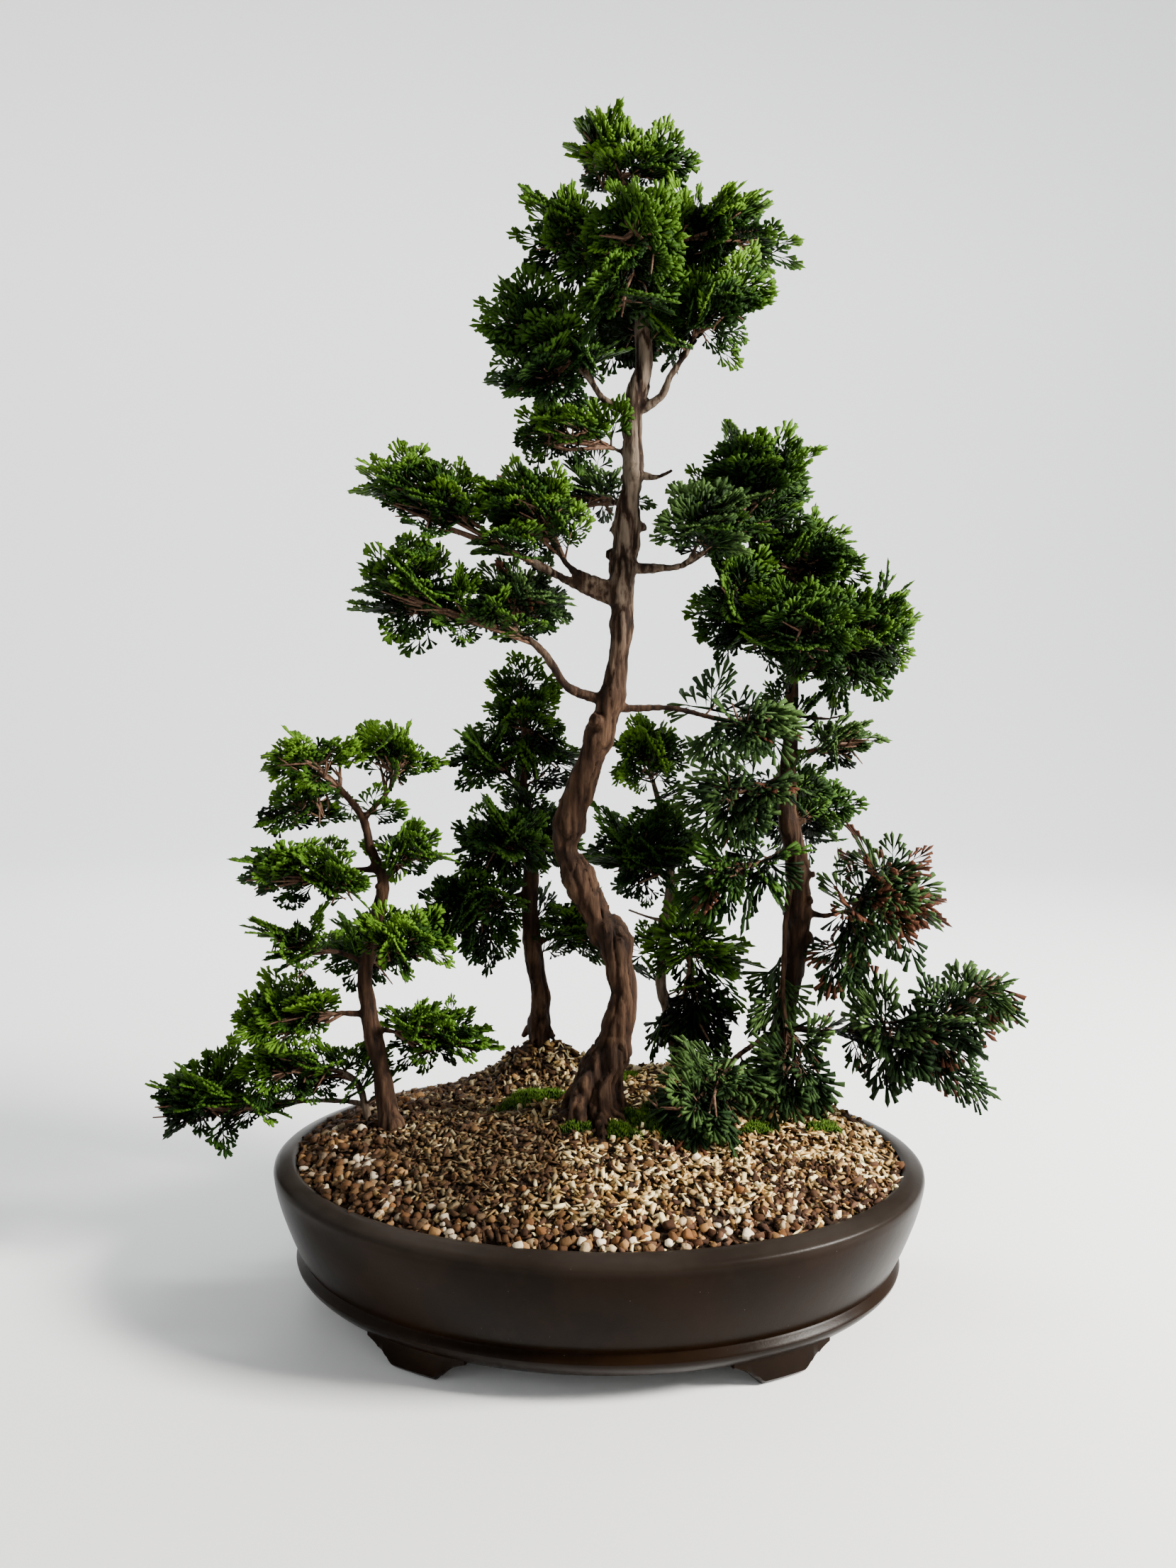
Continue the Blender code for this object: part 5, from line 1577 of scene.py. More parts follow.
class Sprays:
    """The modelled sprays of scale leaves that every frond copies."""

    def __init__(self) -> None:
        """Model the fingers and the fans made of them."""
        self.finger = self.model_finger()
        self.wedge = self.model_wedge()
        self.blunt = [self.model_blunt(seed) for seed in range(6)]
        self.slender = [self.model_slender(seed) for seed in range(5)]

    @staticmethod
    def laid_down(cone: Piece, length: float) -> Shape:
        """Lay a cone primitive along X, with its point at the origin."""
        for vertex in cone.data.vertices:
            x, y, z = vertex.co
            vertex.co = (length / 2 - z, x, y)
        merge(cone, 1e-5)
        return Shape.taken_from(cone)

    def model_finger(self) -> Shape:
        """One finger of unit length along X, slim at its root, with a rounded tip."""
        bpy.ops.mesh.primitive_cone_add(vertices=3, radius1=0.5, radius2=0.0, depth=0.80,
                                        end_fill_type="TRIFAN")
        finger = bpy.context.object
        for vertex in finger.data.vertices:
            if vertex.co.xy.length < 1e-6 and vertex.co.z < 0.0:
                vertex.co.z -= 0.20
        return self.laid_down(finger, 0.80)

    def model_wedge(self) -> Shape:
        """One finger of unit length along X, slim at its root, with a blunt end."""
        bpy.ops.mesh.primitive_cone_add(vertices=3, radius1=0.5, radius2=0.0, depth=1.0)
        return self.laid_down(bpy.context.object, 1.0)

    @staticmethod
    def fan(parts: Sequence[tuple], thick: float) -> Shape:
        """Fingers laid out flat and a little cupped.

        Args:
            parts: for each finger its shape, its root's x and y, its angle, length and width.
            thick: how thick the fingers are.

        Returns:
            The fan's shape.
        """
        points, triangles, count = [], [], 0
        for shape, x, y, angle, length, width in parts:
            finger = shape.points * np.array([length, width, thick])
            turn = np.array([[math.cos(angle), -math.sin(angle), 0.0],
                             [math.sin(angle), math.cos(angle), 0.0], [0.0, 0.0, 1.0]])
            finger = finger @ turn.T + np.array([x, y, 0.0])
            finger[:, 2] += 0.30 * finger[:, 1] ** 2 - 0.16 * finger[:, 0] ** 2
            triangles.append(shape.triangles + count)
            points.append(finger)
            count += len(finger)
        return Shape(np.concatenate(points), np.concatenate(triangles))

    def model_blunt(self, seed: int) -> Shape:
        """A fan of forked blunt fingers, as on the crowns."""
        rng = np.random.default_rng(seed + 100)
        parts = [(self.wedge, 0.66, 0.0, math.pi, 0.66, 0.050),
                 (self.finger, 0.46, 0.0, 0.0, 0.54, 0.110),
                 (self.wedge, 0.62, 0.0, math.radians(27.0), 0.30, 0.095),
                 (self.wedge, 0.68, 0.0, math.radians(-31.0), 0.26, 0.095)]
        side = 1.0 if seed % 2 else -1.0
        for i in range(5):
            side = -side
            station = 0.12 + 0.115 * i + rng.uniform(-0.02, 0.02)
            angle = side * math.radians(55.0 - 6.0 * i + rng.uniform(-6.0, 6.0))
            length = (0.48 - 0.035 * i) * rng.uniform(0.86, 1.12)
            parts.append((self.wedge, station, 0.0, angle, length, 0.106))
            for share, turn, reach in ((0.38, -40.0, 0.60), (0.46, 38.0, 0.46), (0.66, -30.0, 0.38)):
                if turn > 0.0 and i > 2:
                    continue
                x = station + math.cos(angle) * length * share
                y = math.sin(angle) * length * share
                fork = angle + side * math.radians(turn + rng.uniform(-7.0, 7.0))
                parts.append((self.wedge, x, y, fork, length * reach * rng.uniform(0.85, 1.15), 0.096))
        return self.fan(parts, 0.070)

    def model_slender(self, seed: int) -> Shape:
        """An open spray of long thin fingers, as on the low branches."""
        rng = np.random.default_rng(seed + 200)
        parts = [(self.wedge, 0.72, 0.0, math.pi, 0.72, 0.055), (self.finger, 0.44, 0.0, 0.0, 0.56, 0.112)]
        side = 1.0 if seed % 2 else -1.0
        for i in range(6):
            side = -side
            station = 0.10 + 0.095 * i
            angle = side * math.radians(48.0 - 4.4 * i + rng.uniform(-7.0, 7.0))
            length = (0.56 - 0.04 * i) * rng.uniform(0.8, 1.2)
            parts.append((self.wedge, station, 0.0, angle, length, 0.114))
            if i < 4:
                x = station + math.cos(angle) * length * 0.45
                y = math.sin(angle) * length * 0.45
                fork = angle - side * math.radians(28.0)
                parts.append((self.wedge, x, y, fork, length * 0.55, 0.100))
        return self.fan(parts, 0.066)


@dataclass
class Pad:
    """A mass of foliage: the middle and radii of its ellipsoid."""

    middle: tuple
    radii: tuple
    springs_at: float = 0.45

    def surface(self) -> float:
        """Roughly the ellipsoid's area in square millimetres."""
        a, b, c = (radius ** 1.6 for radius in self.radii)
        return 4.0 * math.pi * ((a * b + a * c + b * c) / 3.0) ** (1.0 / 1.6)


@dataclass
class Frond:
    """The foliage that one branch carries: twigs and flat sprays of scale leaves."""

    name: str
    habit: Habit
    pads: Sequence[Pad]
    dense: float = 1.0
    rust: float = 0.0
    # The pad's area for one bough in square millimetres, the chance of a bough at each station
    # of the branch, and the share of sprays that lie on the solid's own blades.
    room: float = 840.0
    clothed: float = 0.60
    on_blades: float = 0.24
    # How far behind its place on a blade a spray springs, and the gap that a twig bridges.
    behind: float = 15.0
    bridged: float = 3.0
    # What grows: the source of the draws, the pads' stems and the placed sprays.
    rng: Optional[Draws] = None
    stalks: list = field(default_factory=list)
    copies: Copies = field(default_factory=Copies)

    def node(self) -> str:
        """The CAD node that this frond stands for."""
        return "frond_" + self.name

    def leaves(self) -> Leaves:
        """The leaves that the record's slot of that node asks for."""
        slots = {part["node"]: part["material_slot"] for part in frame["record"]["subparts"]}
        return next(leaves for leaves in Leaves if leaves.value[0] == slots[self.node()])

    def stems(self) -> list[Route]:
        """The route of each pad's stem, from the branch's end to beyond the pad's middle."""
        end, heading = BRANCH_ENDS[self.name]
        routes = []
        for pad in self.pads:
            middle = np.array(pad.middle, float)
            if routes:
                first = routes[0]
                start = first[int(pad.springs_at * (len(first) - 1))][:3]
                heading = unit(middle - start)
            else:
                start = end
            onward = unit(middle - start)
            reach = np.linalg.norm(onward * np.array(pad.radii))
            points = [(*start, 1.8), (*(start + heading * 5.0), 1.6), (*middle, 1.1),
                      (*(middle + onward * reach * 0.5), 0.5)]
            routes.append(smooth_route(points, 3))
        return routes

    def pad_boughs(self, pad: Pad, stem: list) -> list[Bough]:
        """Boughs that spread evenly from a pad's stem to its surface."""
        manner = self.habit.value
        count = max(4, round(pad.surface() / self.room * self.dense * manner.crowd))
        turn = self.rng.uniform(0.0, math.tau)
        lobes = self.rng.uniform(0.0, 50.0, 3)
        heading = unit(stem[-1][:3] - stem[0][:3])
        boughs = []
        for i in range(count):
            height = manner.low + (manner.high - manner.low) * (i + self.rng.uniform(0.2, 0.8)) / count
            angle = turn + GOLDEN * i + self.rng.normal(0.0, 0.25)
            flat = math.sqrt(max(0.0, 1.0 - height * height))
            aim = np.array([math.cos(angle) * flat, math.sin(angle) * flat, height])
            aim = unit(aim + heading * manner.onward)
            share = self.rng.normal(0.72, manner.uneven) + 0.55 * noise.noise(Vector(aim * 1.9 + lobes))
            reach = np.array(pad.radii) * np.clip(share, 0.38, 1.12)
            end = np.array(pad.middle) + aim * reach
            start = stem[int(self.rng.uniform(0.10, 0.80) * (len(stem) - 1))][:3]
            sprays = (5 + np.linalg.norm(end - start) / 6.0) * manner.longer
            boughs.append(Bough(start, end, self.plane(end - start), int(sprays)))
        return boughs

    def plane(self, ahead: Array) -> Array:
        """The normal of a bough's plane: between level and any turn about its heading."""
        level = self.habit.value.level
        loose = np.cross(ahead, self.rng.normal(0.0, 1.0, 3))
        loose = unit(loose if loose[2] > 0.0 else -loose)
        return unit(np.array([0.0, 0.0, level]) + loose * (1.0 - level))

    def branch_boughs(self) -> list[Bough]:
        """Short boughs that clothe the outer half of the branch itself, or the trunk's top."""
        route = BRANCH_ROUTES[self.name]
        layered = self.habit is Habit.LAYERED
        trunk = self.name in CLOTHED_FROM
        first = 0.0 if trunk else 0.55
        boughs = []
        side = 1.0
        for i in range(int(len(route) * first), len(route) - 1):
            point, after = route[i][:3], route[i + 1][:3]
            if np.linalg.norm(after - point) < 0.5 or self.rng.uniform() > self.clothed:
                continue
            side = -side
            along = unit(after - point)
            across = np.cross(along, [0.0, 0.0, 1.0]) * side
            if trunk:
                across = np.array([math.cos(GOLDEN * i), math.sin(GOLDEN * i), 0.0]) * 1.3
            aim = unit(along * 0.7 + across + self.rng.normal(0.0, 0.35, 3) + [0.0, 0.0, 0.25])
            length = self.rng.uniform(14.0, 30.0 if layered or trunk else 24.0)
            boughs.append(Bough(point, point + aim * length, self.plane(aim), 4))
        return boughs

    def bare_twigs(self, pad: Pad, stem: list) -> list:
        """Routes of crooked leafless twigs in the lower half of a pad."""
        routes = []
        layered = self.habit is Habit.LAYERED
        count = round(pad.radii[0] / 2.6) if layered else 5
        branch = BRANCH_ROUTES[self.name]
        for i in range(count):
            start = stem[int(self.rng.uniform(0.2, 0.8) * (len(stem) - 1))][:3]
            if layered and pad is self.pads[0] and i % 2:
                start = branch[int(self.rng.uniform(0.5, 0.98) * (len(branch) - 1))][:3]
            angle = self.rng.uniform(0.0, math.tau)
            aim = np.array([math.cos(angle), math.sin(angle), self.rng.uniform(-0.75, 0.1)])
            end = np.array(pad.middle) + aim * np.array(pad.radii) * self.rng.uniform(0.4, 0.72)
            knee = (start + end) / 2 + self.rng.normal(0.0, 3.0, 3)
            fork = knee + (end - knee) * 0.6 + self.rng.normal(0.0, 6.0, 3)
            routes.append([(*start, 1.4), (*knee, 1.1), (*end, 0.5)])
            routes.append([(*knee, 0.9), (*fork, 0.45)])
        return routes

    def spots_on_solid(self, count: int) -> tuple:
        """Draw places spread evenly over the frond's solid.

        Args:
            count: how many places.

        Returns:
            The places and the solid's normals there.
        """
        points, triangles = mesh_arrays(frame["nodes"][self.node()])
        corners = points[triangles]
        normals = np.cross(corners[:, 1] - corners[:, 0], corners[:, 2] - corners[:, 0])
        areas = np.linalg.norm(normals, axis=1)
        chosen = self.rng.choice(len(areas), count, p=areas / areas.sum())
        a, b = self.rng.uniform(0.0, 1.0, (2, count))
        flip = a + b > 1.0
        a[flip], b[flip] = 1.0 - a[flip], 1.0 - b[flip]
        picked = corners[chosen]
        spots = (picked[:, 0] + a[:, None] * (picked[:, 1] - picked[:, 0])
                 + b[:, None] * (picked[:, 2] - picked[:, 0]))
        return spots, unit(normals[chosen])

    def outward(self, spots: Array) -> tuple[Array, Array]:
        """Where each spot points, away from its pad's stem, and how far out it is.

        Args:
            spots: places in metres.

        Returns:
            A unit vector for each spot, and its share of the way to the pad's surface.
        """
        best = np.full(len(spots), 1e9)
        ways = np.zeros((len(spots), 3))
        for pad, stem in zip(self.pads, self.stalks):
            middle = np.array(to_frame(pad.middle))
            share = np.linalg.norm((spots - middle) / (np.array(pad.radii) * MM), axis=1)
            inner = np.array([to_frame(values[:3]) for values in stem[1:7]])
            gaps = np.linalg.norm(spots[:, None, :] - inner[None, :, :], axis=2)
            root = inner[np.argmin(gaps, axis=1)]
            way = unit(spots - root + 0.25 * (spots - middle))
            nearer = share < best
            best = np.where(nearer, share, best)
            ways = np.where(nearer[:, None], way, ways)
        return ways, best

    def bough_sprays(self, boughs: Sequence[Bough]) -> tuple:
        """Where the sprays of boughs spring from, where they head and how their planes lie.

        Args:
            boughs: the boughs.

        Returns:
            Bases in metres, headings and normals, one row for each spray.
        """
        manner = self.habit.value
        bases, ways, normals = [], [], []
        for bough in boughs:
            ahead = unit(bough.end - bough.start)
            normal = unit(bough.normal - ahead * np.dot(bough.normal, ahead) * 0.999)
            across = np.cross(normal, ahead)
            side = 1.0 if self.rng.uniform() < 0.5 else -1.0
            reach = np.linalg.norm(bough.end - bough.start)
            last = max(0.35, 1.0 - 0.26 * sum(manner.sizes) / reach)
            for i in range(bough.sprays):
                share = 0.30 + (last - 0.30) * i / (bough.sprays - 1)
                side = -side
                angle = side * math.radians(58.0 - 34.0 * share + self.rng.normal(0.0, 6.0))
                if i == bough.sprays - 1:
                    angle = self.rng.normal(0.0, 0.12)
                way = ahead * math.cos(angle) + across * math.sin(angle)
                way[2] += manner.rise - 2.0 * manner.sag * share
                bases.append(to_frame(bough.route(manner.sag, share)))
                ways.append(way)
                normals.append(normal)
        return np.array(bases), np.array(ways), np.array(normals)

    def build(self, sprays: Sprays, seed: int) -> Piece:
        """Twigs and sprays in one piece.

        Args:
            sprays: the modelled sprays to copy.
            seed: the seed of all its draws.

        Returns:
            The frond.
        """
        self.rng = np.random.default_rng(seed)
        manner = self.habit.value
        self.stalks = self.stems()
        boughs = self.branch_boughs()
        for pad, stem in zip(self.pads, self.stalks):
            boughs += self.pad_boughs(pad, stem)
        routes = list(self.stalks)
        for pad, stem in zip(self.pads, self.stalks):
            routes += self.bare_twigs(pad, stem)
        for bough in boughs:
            routes.append([(*bough.route(manner.sag, share), radius)
                           for share, radius in ((0.0, 0.85), (0.35, 0.65), (0.7, 0.45))])
        bases, ways, normals = self.bough_sprays(boughs)
        self.lay(bases, ways, normals, sprays)
        spots, normals = self.spots_on_solid(int(len(bases) * self.on_blades))
        ways = self.outward(spots)[0]
        ways = unit(ways - normals * np.sum(ways * normals, axis=1, keepdims=True) * 0.8)
        ways[:, 2] += manner.rise
        ways = unit(ways)
        springs = spots - ways * self.behind * MM
        routes += self.links(springs, boughs)
        self.lay(springs, ways, normals, sprays)
        twigs = tubes(self.name + "_twigs", routes, 4)
        set_tone(twigs, np.array([0.3, 0.5, 1.0]))
        return join(self.node() + "_sprays", [self.copies.piece(self.name + "_leaves"), twigs])

    def links(self, springs: Array, boughs: Sequence[Bough]) -> list:
        """Routes of thin twigs from the nearest bough to sprays that spring clear of them all.

        Args:
            springs: where those sprays spring from, in metres.
            boughs: the boughs.

        Returns:
            The routes.
        """
        sag = self.habit.value.sag
        stations = np.array([bough.route(sag, share) for bough in boughs for share in (0.1, 0.3, 0.5, 0.7)])
        ends = (springs - np.array(MIDDLE)) / MM
        gaps = np.linalg.norm(ends[:, None, :] - stations[None, :, :], axis=2)
        routes = []
        for end, start, gap in zip(ends, stations[gaps.argmin(axis=1)], gaps.min(axis=1)):
            if gap > self.bridged:
                knee = (start + end) / 2 - np.array([0.0, 0.0, 0.12 * gap])
                routes.append([(*start, 0.7), (*knee, 0.55), (*end, 0.4)])
        return routes

    def lay(self, bases: Array, ways: Array, normals: Array, sprays: Sprays) -> None:
        """Place one spray on each base.

        Args:
            bases: where the sprays spring from, in metres.
            ways: where they head.
            normals: how their planes lie.
            sprays: the modelled sprays.
        """
        manner = self.habit.value
        count = len(bases)
        ways = unit(ways + self.rng.normal(0.0, manner.stray, ways.shape))
        normals = normals + self.rng.normal(0.0, 0.14, normals.shape)
        sizes = self.rng.uniform(*manner.sizes, count) * MM
        tips = bases + ways * sizes[:, None]
        low, high = np.array(CAD_BOX[0]) - PROUD, np.array(CAD_BOX[1]) + PROUD
        high[2] -= PROUD + UNDER_TOP
        kept = np.clip(tips, low, high)
        bases = bases + kept - tips
        shares = self.outward(kept)[1]
        scale = np.stack([sizes, sizes * self.rng.uniform(0.85, 1.15, count), sizes], axis=1)
        frames = frames_along(ways, normals, scale)
        # Painted shade and light: sprays deep in a pad are darker, and those high in it lighter.
        light = 0.36 * np.clip(shares, 0.0, 1.25) ** 2
        middle = np.mean([to_frame(pad.middle)[2] for pad in self.pads])
        tall = max(pad.radii[2] for pad in self.pads) * MM
        light += 0.17 * np.clip((kept[:, 2] - middle) / tall, -1.0, 1.0)
        light += self.rng.normal(0.0, 0.10, count)
        shapes = sprays.slender if manner.slender else sprays.blunt
        kinds = self.rng.integers(0, len(shapes), count)
        rust = self.rng.uniform(0.0, 1.0, count)
        draws = self.rng.uniform(0.0, 1.0, count)
        for index, shape in enumerate(shapes):
            chosen = kinds == index
            along = np.clip(shape.points[:, 0], 0.0, 1.0)[None, :]
            whole = (rust[chosen] < self.rust * 0.3)[:, None]
            tipped = (rust[chosen] < self.rust)[:, None] & (along > 0.66)
            tones = tone_rows(light[chosen][:, None] + 0.46 * (along - 0.42),
                              draws[chosen][:, None], 0.5 * (whole | tipped))
            self.copies.add(shape, bases[chosen], frames[chosen], tones)

    def dress(self, piece: Piece) -> None:
        """Finish the leaves and twigs."""
        slot, finish = self.leaves().value
        finish.dress(piece, slot + "_finish")
        hand_over(piece, slot, self.node())


def branch_ends() -> dict[str, tuple[Array, Array]]:
    """The end of each branch and trunk, with its heading."""
    ends = {}
    for tree in TREES:
        routes = [(branch.name, branch.route) for branch in tree.branches]
        routes.append((tree.name, [point[:3] for point in tree.trunk]))
        for name, route in routes:
            last = np.array(route[-1], float)
            ends[name] = (last, unit(last - np.array(route[-2], float)))
    return ends


def branch_routes() -> dict[str, Route]:
    """The smooth route of each branch, and of the last quarter of each trunk."""
    routes = {}
    for tree in TREES:
        for branch in tree.branches:
            routes[branch.name] = smooth_route([(*point, 1.0) for point in branch.route], 5)
        trunk = tree.trunk_route()
        routes[tree.name] = trunk[int(len(trunk) * CLOTHED_FROM[tree.name]):]
    return routes


# The share of each trunk that is bare.
CLOTHED_FROM = {"main_tree": 0.91, "right_tree": 0.64, "back_right_tree": 0.34,
                "back_left_tree": 0.46, "left_tree": 0.80, "young_stem": 0.40}
BRANCH_ENDS = branch_ends()
BRANCH_ROUTES = branch_routes()
GOLDEN = math.pi * (3.0 - math.sqrt(5.0))
MASSED, LAYERED, DROOPING = Habit.MASSED, Habit.LAYERED, Habit.DROOPING

FRONDS = (
    Frond("main_tree", MASSED, [Pad((22, 0, 712), (30, 24, 24)), Pad((-10, 0, 724), (14, 12, 30), 0.1)]),
    Frond("crown_left", MASSED, [Pad((-27, -5, 668), (28, 24, 27))]),
    Frond("crown_front", MASSED, [
        Pad((13, -40, 657), (32, 20, 28)), Pad((8, -38, 619), (28, 18, 20), 0.5)]),
    Frond("crown_right", MASSED, [Pad((74, 0, 673), (34, 28, 28))]),
    Frond("crown_back", MASSED, [Pad((21, 52, 680), (36, 26, 34)), Pad((20, 50, 620), (34, 24, 22), 0.5)]),
    Frond("low_right", MASSED, [Pad((66, -10, 628), (34, 28, 23))]),
    Frond("lobe_left", MASSED, [Pad((-42, -8, 579), (31, 20, 16)), Pad((-50, 0, 619), (32, 26, 24), 0.35)]),
    Frond("tufts_left", LAYERED, [Pad((-33, 0, 548), (36, 20, 17))], 1.1),
    Frond("a_inner", LAYERED, [
        Pad((-6, 26, 515), (24, 16, 20)), Pad((-62, 50, 507), (34, 24, 27), 0.8)], 1.1, 0.12),
    Frond("a_mid", LAYERED, [Pad((-54, -18, 503), (32, 25, 26))], 1.3),
    Frond("a_left", LAYERED, [Pad((-123, -10, 510), (32, 28, 28))], 1.3),
    Frond("b_left", LAYERED, [Pad((-124, -14, 447), (34, 28, 30))], 1.3),
    Frond("b_mid", LAYERED, [
        Pad((-58, -8, 444), (32, 22, 19)), Pad((-56, 42, 446), (32, 24, 23), 0.5)], 1.1, 0.04),
    Frond("c_top", MASSED, [Pad((93, -8, 532), (38, 28, 24)), Pad((96, 30, 511), (34, 24, 28), 0.3)]),
    Frond("c_low", MASSED, [Pad((62, -18, 497), (27, 20, 24))], 1.15),
    Frond("d_end", DROOPING, [Pad((96, -13, 371), (20, 18, 15))], 0.8, 0.1),
    Frond("right_tree", MASSED, [Pad((131, 48, 482), (42, 28, 26))]),
    Frond("r_crown_left", MASSED, [Pad((86, 32, 446), (28, 26, 42))]),
    Frond("r_crown_right", MASSED, [Pad((176, 42, 432), (33, 30, 52))]),
    Frond("r_crown_front", MASSED, [Pad((125, 6, 432), (36, 24, 36))]),
    Frond("r_crown_back", MASSED, [Pad((142, 104, 438), (40, 28, 38))]),
    Frond("r_fan_right", LAYERED, [Pad((166, 45, 354), (23, 18, 15))], 0.9),
    Frond("r_left_up", DROOPING, [Pad((87, 32, 320), (34, 26, 28))], 1.0, 0.04),
    Frond("r_left_low", DROOPING, [Pad((85, 30, 268), (33, 26, 28))], 1.0, 0.04),
    Frond("r_back_mid", MASSED, [Pad((148, 112, 300), (34, 24, 34))], 0.9),
    Frond("r_right_mid", DROOPING, [
        Pad((194, 45, 257), (42, 30, 38)), Pad((166, 46, 211), (22, 15, 15), 0.5)], 0.9, 0.3),
    Frond("r_low_right", DROOPING, [
        Pad((220, 32, 160), (42, 30, 46)), Pad((264, 28, 194), (22, 10, 8), 0.8)], 0.95, 0.16),
    Frond("r_low_centre", DROOPING, [Pad((134, 20, 134), (36, 30, 28))], 0.85, 0.06),
    Frond("r_front_droop", DROOPING, [Pad((58, -28, 128), (38, 32, 17))], 1.25, 0.03),
    Frond("back_right_tree", MASSED, [Pad((32, 88, 346), (27, 23, 25))], 0.9),
    Frond("br_mid", MASSED, [Pad((29, 82, 272), (38, 28, 34))]),
    Frond("br_low_right", DROOPING, [
        Pad((67, 83, 208), (36, 26, 28)), Pad((68, 78, 154), (38, 26, 24), 0.3)]),
    Frond("back_left_tree", MASSED, [
        Pad((-60, 104, 384), (24, 22, 32)), Pad((-38, 112, 340), (20, 18, 22), 0.5)], 0.8),
    Frond("bl_left", MASSED, [Pad((-84, 94, 339), (30, 22, 22))], 0.8),
    Frond("bl_mid", MASSED, [Pad((-74, 82, 279), (36, 26, 32))]),
    Frond("bl_back", MASSED, [Pad((-52, 134, 279), (34, 22, 30))], 0.9),
    Frond("bl_low_left", MASSED, [Pad((-102, 88, 226), (36, 28, 40))]),
    Frond("bl_low_right", MASSED, [Pad((-20, 110, 217), (20, 18, 23))], 0.8),
    Frond("left_tree", LAYERED, [
        Pad((-190, -3, 343), (30, 24, 16)), Pad((-197, 0, 306), (30, 22, 13), 0.4)], 0.9),
    Frond("l_top_right", LAYERED, [Pad((-143, 12, 347), (28, 22, 14))], 0.9),
    Frond("l_third", LAYERED, [
        Pad((-207, -5, 268), (31, 24, 21)), Pad((-164, -24, 263), (18, 14, 14), 0.5)], 0.9),
    Frond("l_right_up", LAYERED, [Pad((-127, 11, 281), (21, 20, 19))], 0.8),
    Frond("l_fourth", LAYERED, [Pad((-197, -10, 224), (26, 22, 19))], 0.9),
    Frond("l_bright", LAYERED, [Pad((-126, -17, 225), (29, 24, 23))]),
    Frond("l_back", MASSED, [Pad((-162, 54, 208), (30, 24, 27))], 0.9),
    Frond("l_right_low", LAYERED, [Pad((-107, 20, 154), (36, 26, 22))], 1.15),
    Frond("l_low_left", LAYERED, [Pad((-205, -6, 175), (38, 28, 22))], 1.1),
    Frond("young_stem", LAYERED, [Pad((-208, 6, 137), (27, 24, 21))]),
    Frond("l_lowest", LAYERED, [Pad((-268, -4, 118), (38, 28, 26))], 1.2),
)


# The studio


@dataclass
class Studio:
    """A plain pale floor, soft lights and the camera."""

    # The camera in millimetres and degrees, and its focal length in pixels of a picture 2212
    # pixels tall.
    camera_place: Point = (-9.7, -757.2, 380.3)
    pitch_down: float = 3.957
    yaw: float = 0.03
    roll: float = 0.70
    focal_pixels: float = 1662.0
    picture_height: float = 2212.0
    sensor: float = 36.0

    # The sweep's section as (distance from the middle, height), in metres.
    flat_reach: float = 2.3
    bend: float = 2.0
    wall_top: float = 5.0

    def sweep(self) -> None:
        """A round floor that bends up into a wall far off on every side."""
        section = [(0.0, 0.0), (0.8, 0.0), (self.flat_reach, 0.0)]
        for i in range(1, 17):
            angle = math.pi / 2 * i / 16
            section.append((self.flat_reach + self.bend * math.sin(angle),
                            self.bend * (1.0 - math.cos(angle))))
        section.append((self.flat_reach + self.bend, self.wall_top))

        def place(column: int, row: int) -> Vector:
            """The place of one point of the grid."""
            reach, height = section[row]
            angle = math.tau * column / 96
            return Vector((reach * math.cos(angle), reach * math.sin(angle), height))

        floor = shaped_grid("studio_floor", 96, len(section) - 1, place)
        only(floor)
        bpy.ops.object.shade_smooth()
        PlainFloor().dress(floor, "pale_floor")

    def light(self, name: str, place: Point, aim: Point, size: float, power: float, colour: Colour) -> None:
        """One square soft light.

        Args:
            name: the lamp's name.
            place: where it stands, in metres.
            aim: what it faces.
            size: its side in metres.
            power: its power in watts.
            colour: its colour.
        """
        bpy.ops.object.light_add(type="AREA", location=place)
        lamp = bpy.context.object
        lamp.name = name
        lamp.data.size = size
        lamp.data.energy = power
        lamp.data.color = colour
        lamp.rotation_euler = (Vector(aim) - Vector(place)).to_track_quat("-Z", "Y").to_euler()

    def build(self) -> None:
        """Floor, world, lights and camera."""
        self.sweep()
        world = bpy.data.worlds.new("studio")
        bpy.context.scene.world = world
        world.use_nodes = True
        sky = world.node_tree.nodes["Background"].inputs
        sky["Color"].default_value = (0.93, 0.96, 1.0, 1.0)
        sky["Strength"].default_value = 0.18
        aim = (0.0, 0.0, 0.35)
        self.light("window", (1.75, -0.50, 1.20), aim, 0.5, 200.0, (1.0, 0.96, 0.90))
        self.light("fill", (-1.6, -1.4, 1.1), aim, 1.4, 3.0, (0.92, 0.96, 1.0))
        self.light("rim", (-0.9, 1.7, 1.6), aim, 1.0, 8.0, (0.95, 0.98, 1.0))
        self.light("wall", (0.0, 0.9, 2.4), (0.0, 4.0, 0.6), 1.6, 150.0, (0.97, 0.98, 1.0))
        self.camera()

    def camera(self) -> None:
        """The camera at the photograph's place and angle."""
        data = bpy.data.cameras.new("view")
        camera = bpy.data.objects.new("view", data)
        bpy.context.scene.collection.objects.link(camera)
        data.sensor_width = self.sensor
        data.lens = self.focal_pixels / self.picture_height * self.sensor
        data.clip_start, data.clip_end = 0.01, 50.0
        turn = Matrix.Rotation(math.radians(self.yaw), 4, "Z")
        turn = turn @ Matrix.Rotation(math.radians(90.0 - self.pitch_down), 4, "X")
        turn = turn @ Matrix.Rotation(math.radians(self.roll), 4, "Z")
        camera.matrix_world = Matrix.Translation(to_frame(self.camera_place)) @ turn
        bpy.context.scene.camera = camera


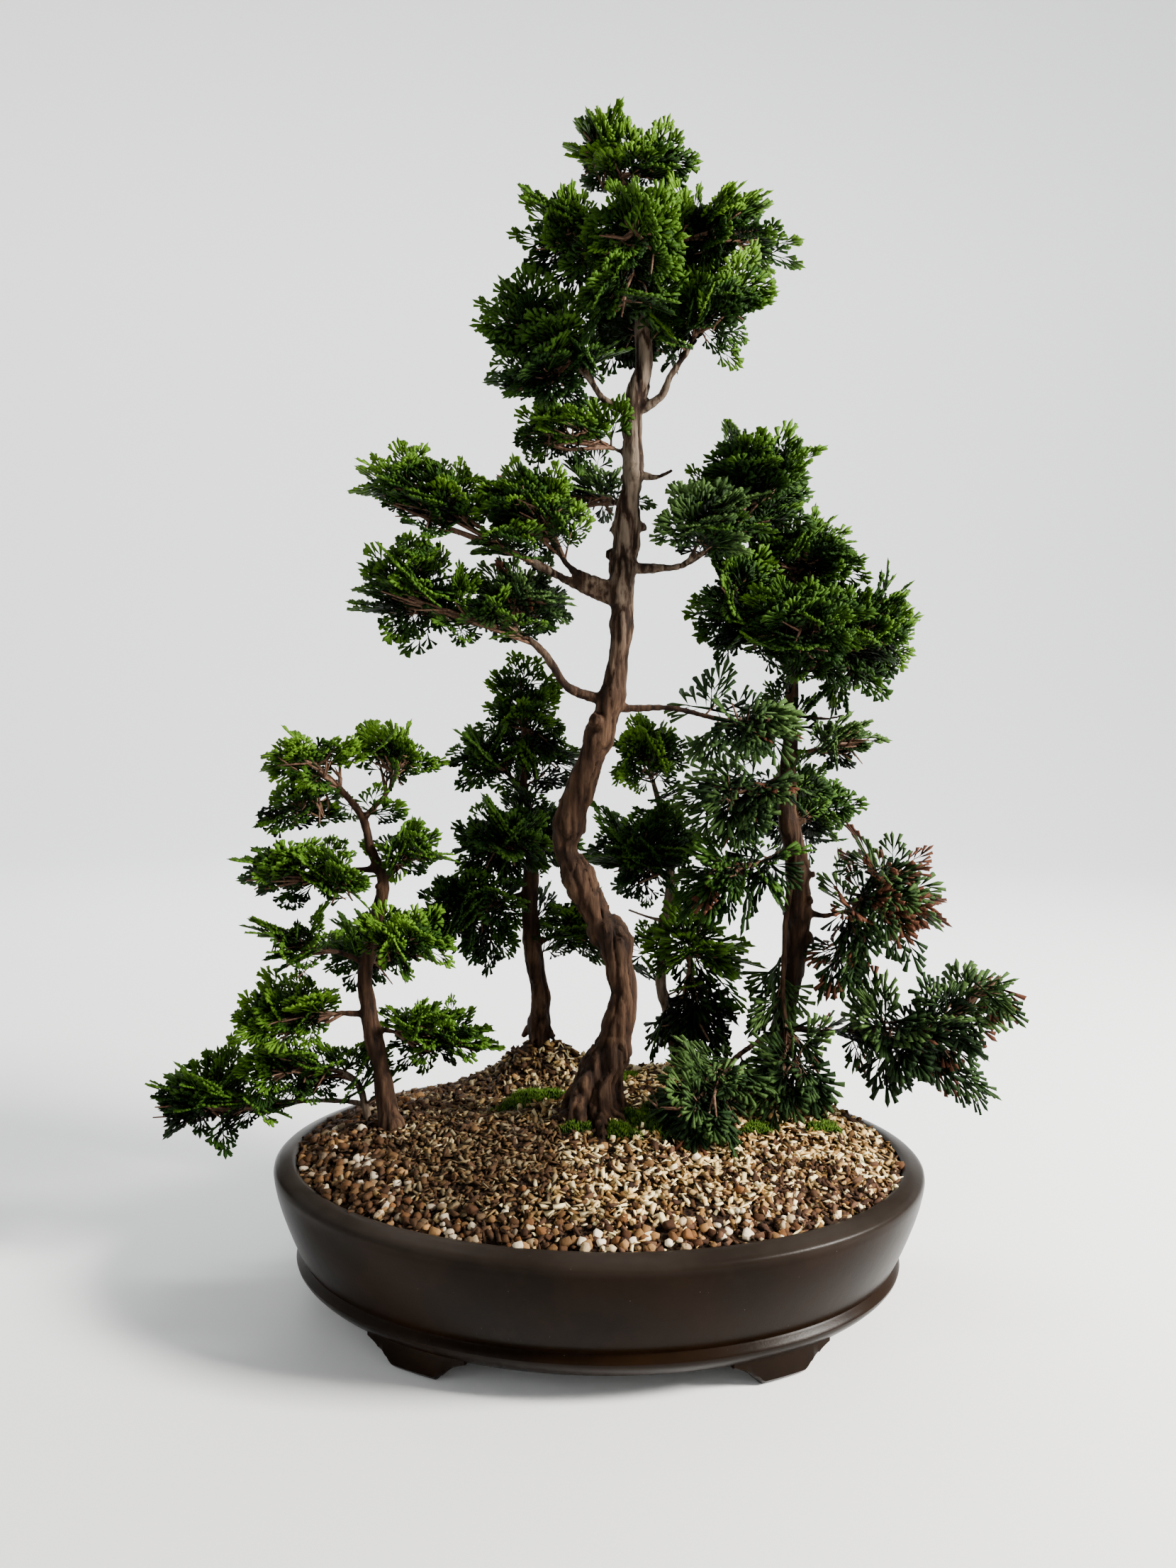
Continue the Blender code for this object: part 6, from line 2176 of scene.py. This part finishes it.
def search(*pieces: Piece) -> BVHTree:
    """Index the triangles of pieces."""
    points, triangles, count = [], [], 0
    for piece in pieces:
        vertices, faces = mesh_arrays(piece)
        points.append(vertices)
        triangles.append(faces + count)
        count += len(vertices)
    return BVHTree.FromPolygons(np.concatenate(points).tolist(), np.concatenate(triangles).tolist())


def build_ground(trunks: Sequence[Piece]) -> None:
    """The soil bed, its loose grains and the moss.

    Args:
        trunks: the trees, which nothing on the soil lies in.
    """
    bed = SOIL.build()
    SOIL.dress(bed)
    ground = search(bed)
    blocked = search(*trunks)
    chips = [odd_chip(seed) for seed in range(5)]
    crumbs = [odd_grain(Vector((seed * 4.3, seed, 0.0)), 0.8, 2.9, 0.28) for seed in range(5)]
    pebbles = [odd_grain(Vector((seed * 5.1, seed, 0.0)), 0.84, 1.9, 0.22, 0.17) for seed in range(6)]
    mixed = Grit(palette=((0.018, 0.008, 0.004), (0.052, 0.022, 0.010), (0.170, 0.070, 0.022),
                          (0.075, 0.037, 0.016), (0.350, 0.180, 0.062), (0.150, 0.088, 0.040),
                          (0.600, 0.450, 0.260), (0.860, 0.730, 0.520)))
    dark = Grit(palette=((0.016, 0.008, 0.005), (0.045, 0.021, 0.012), (0.090, 0.045, 0.025)))
    crumbled = Grit(palette=((0.025, 0.011, 0.005), (0.090, 0.042, 0.015),
                             (0.240, 0.135, 0.050), (0.500, 0.340, 0.150)))
    kinds = (
        Grains(GrainKind.STRAW, 6800, (2.2, 4.5), chips, Grit(), 1.6, 0.30, 21),
        Grains(GrainKind.FINE, 1800, (1.6, 3.0), crumbs, crumbled, 1.2, 0.8, 22),
        Grains(GrainKind.PEBBLE, 720, (3.2, 6.2), pebbles, mixed, 1.2, 0.85, 23, 0.5),
        Grains(GrainKind.BARK, 2200, (2.2, 5.0), chips, dark, 1.7, 0.45, 24),
        Grains(GrainKind.STRAWS, 90, (1.3, 2.0), chips, Grit(), 9.0, 0.6, 25, 0.2),
    )
    for kind in kinds:
        kind.dress(kind.build(ground, blocked))
    MOSS.dress(MOSS.build(ground))


def main() -> None:
    """Build every piece in order."""
    logging.basicConfig(level=logging.INFO, format="%(message)s")
    Studio().build()
    pot = Pot()
    pot.dress(pot.build())
    DrainScreens().dress()
    trunks = []
    for tree in TREES:
        wood = tree.build()
        tree.dress(wood)
        trunks.append(wood)
    build_ground(trunks)
    sprays = Sprays()
    for number, frond in enumerate(FRONDS):
        frond.dress(frond.build(sprays, 500 + number))


if __name__ == "__main__":
    main()
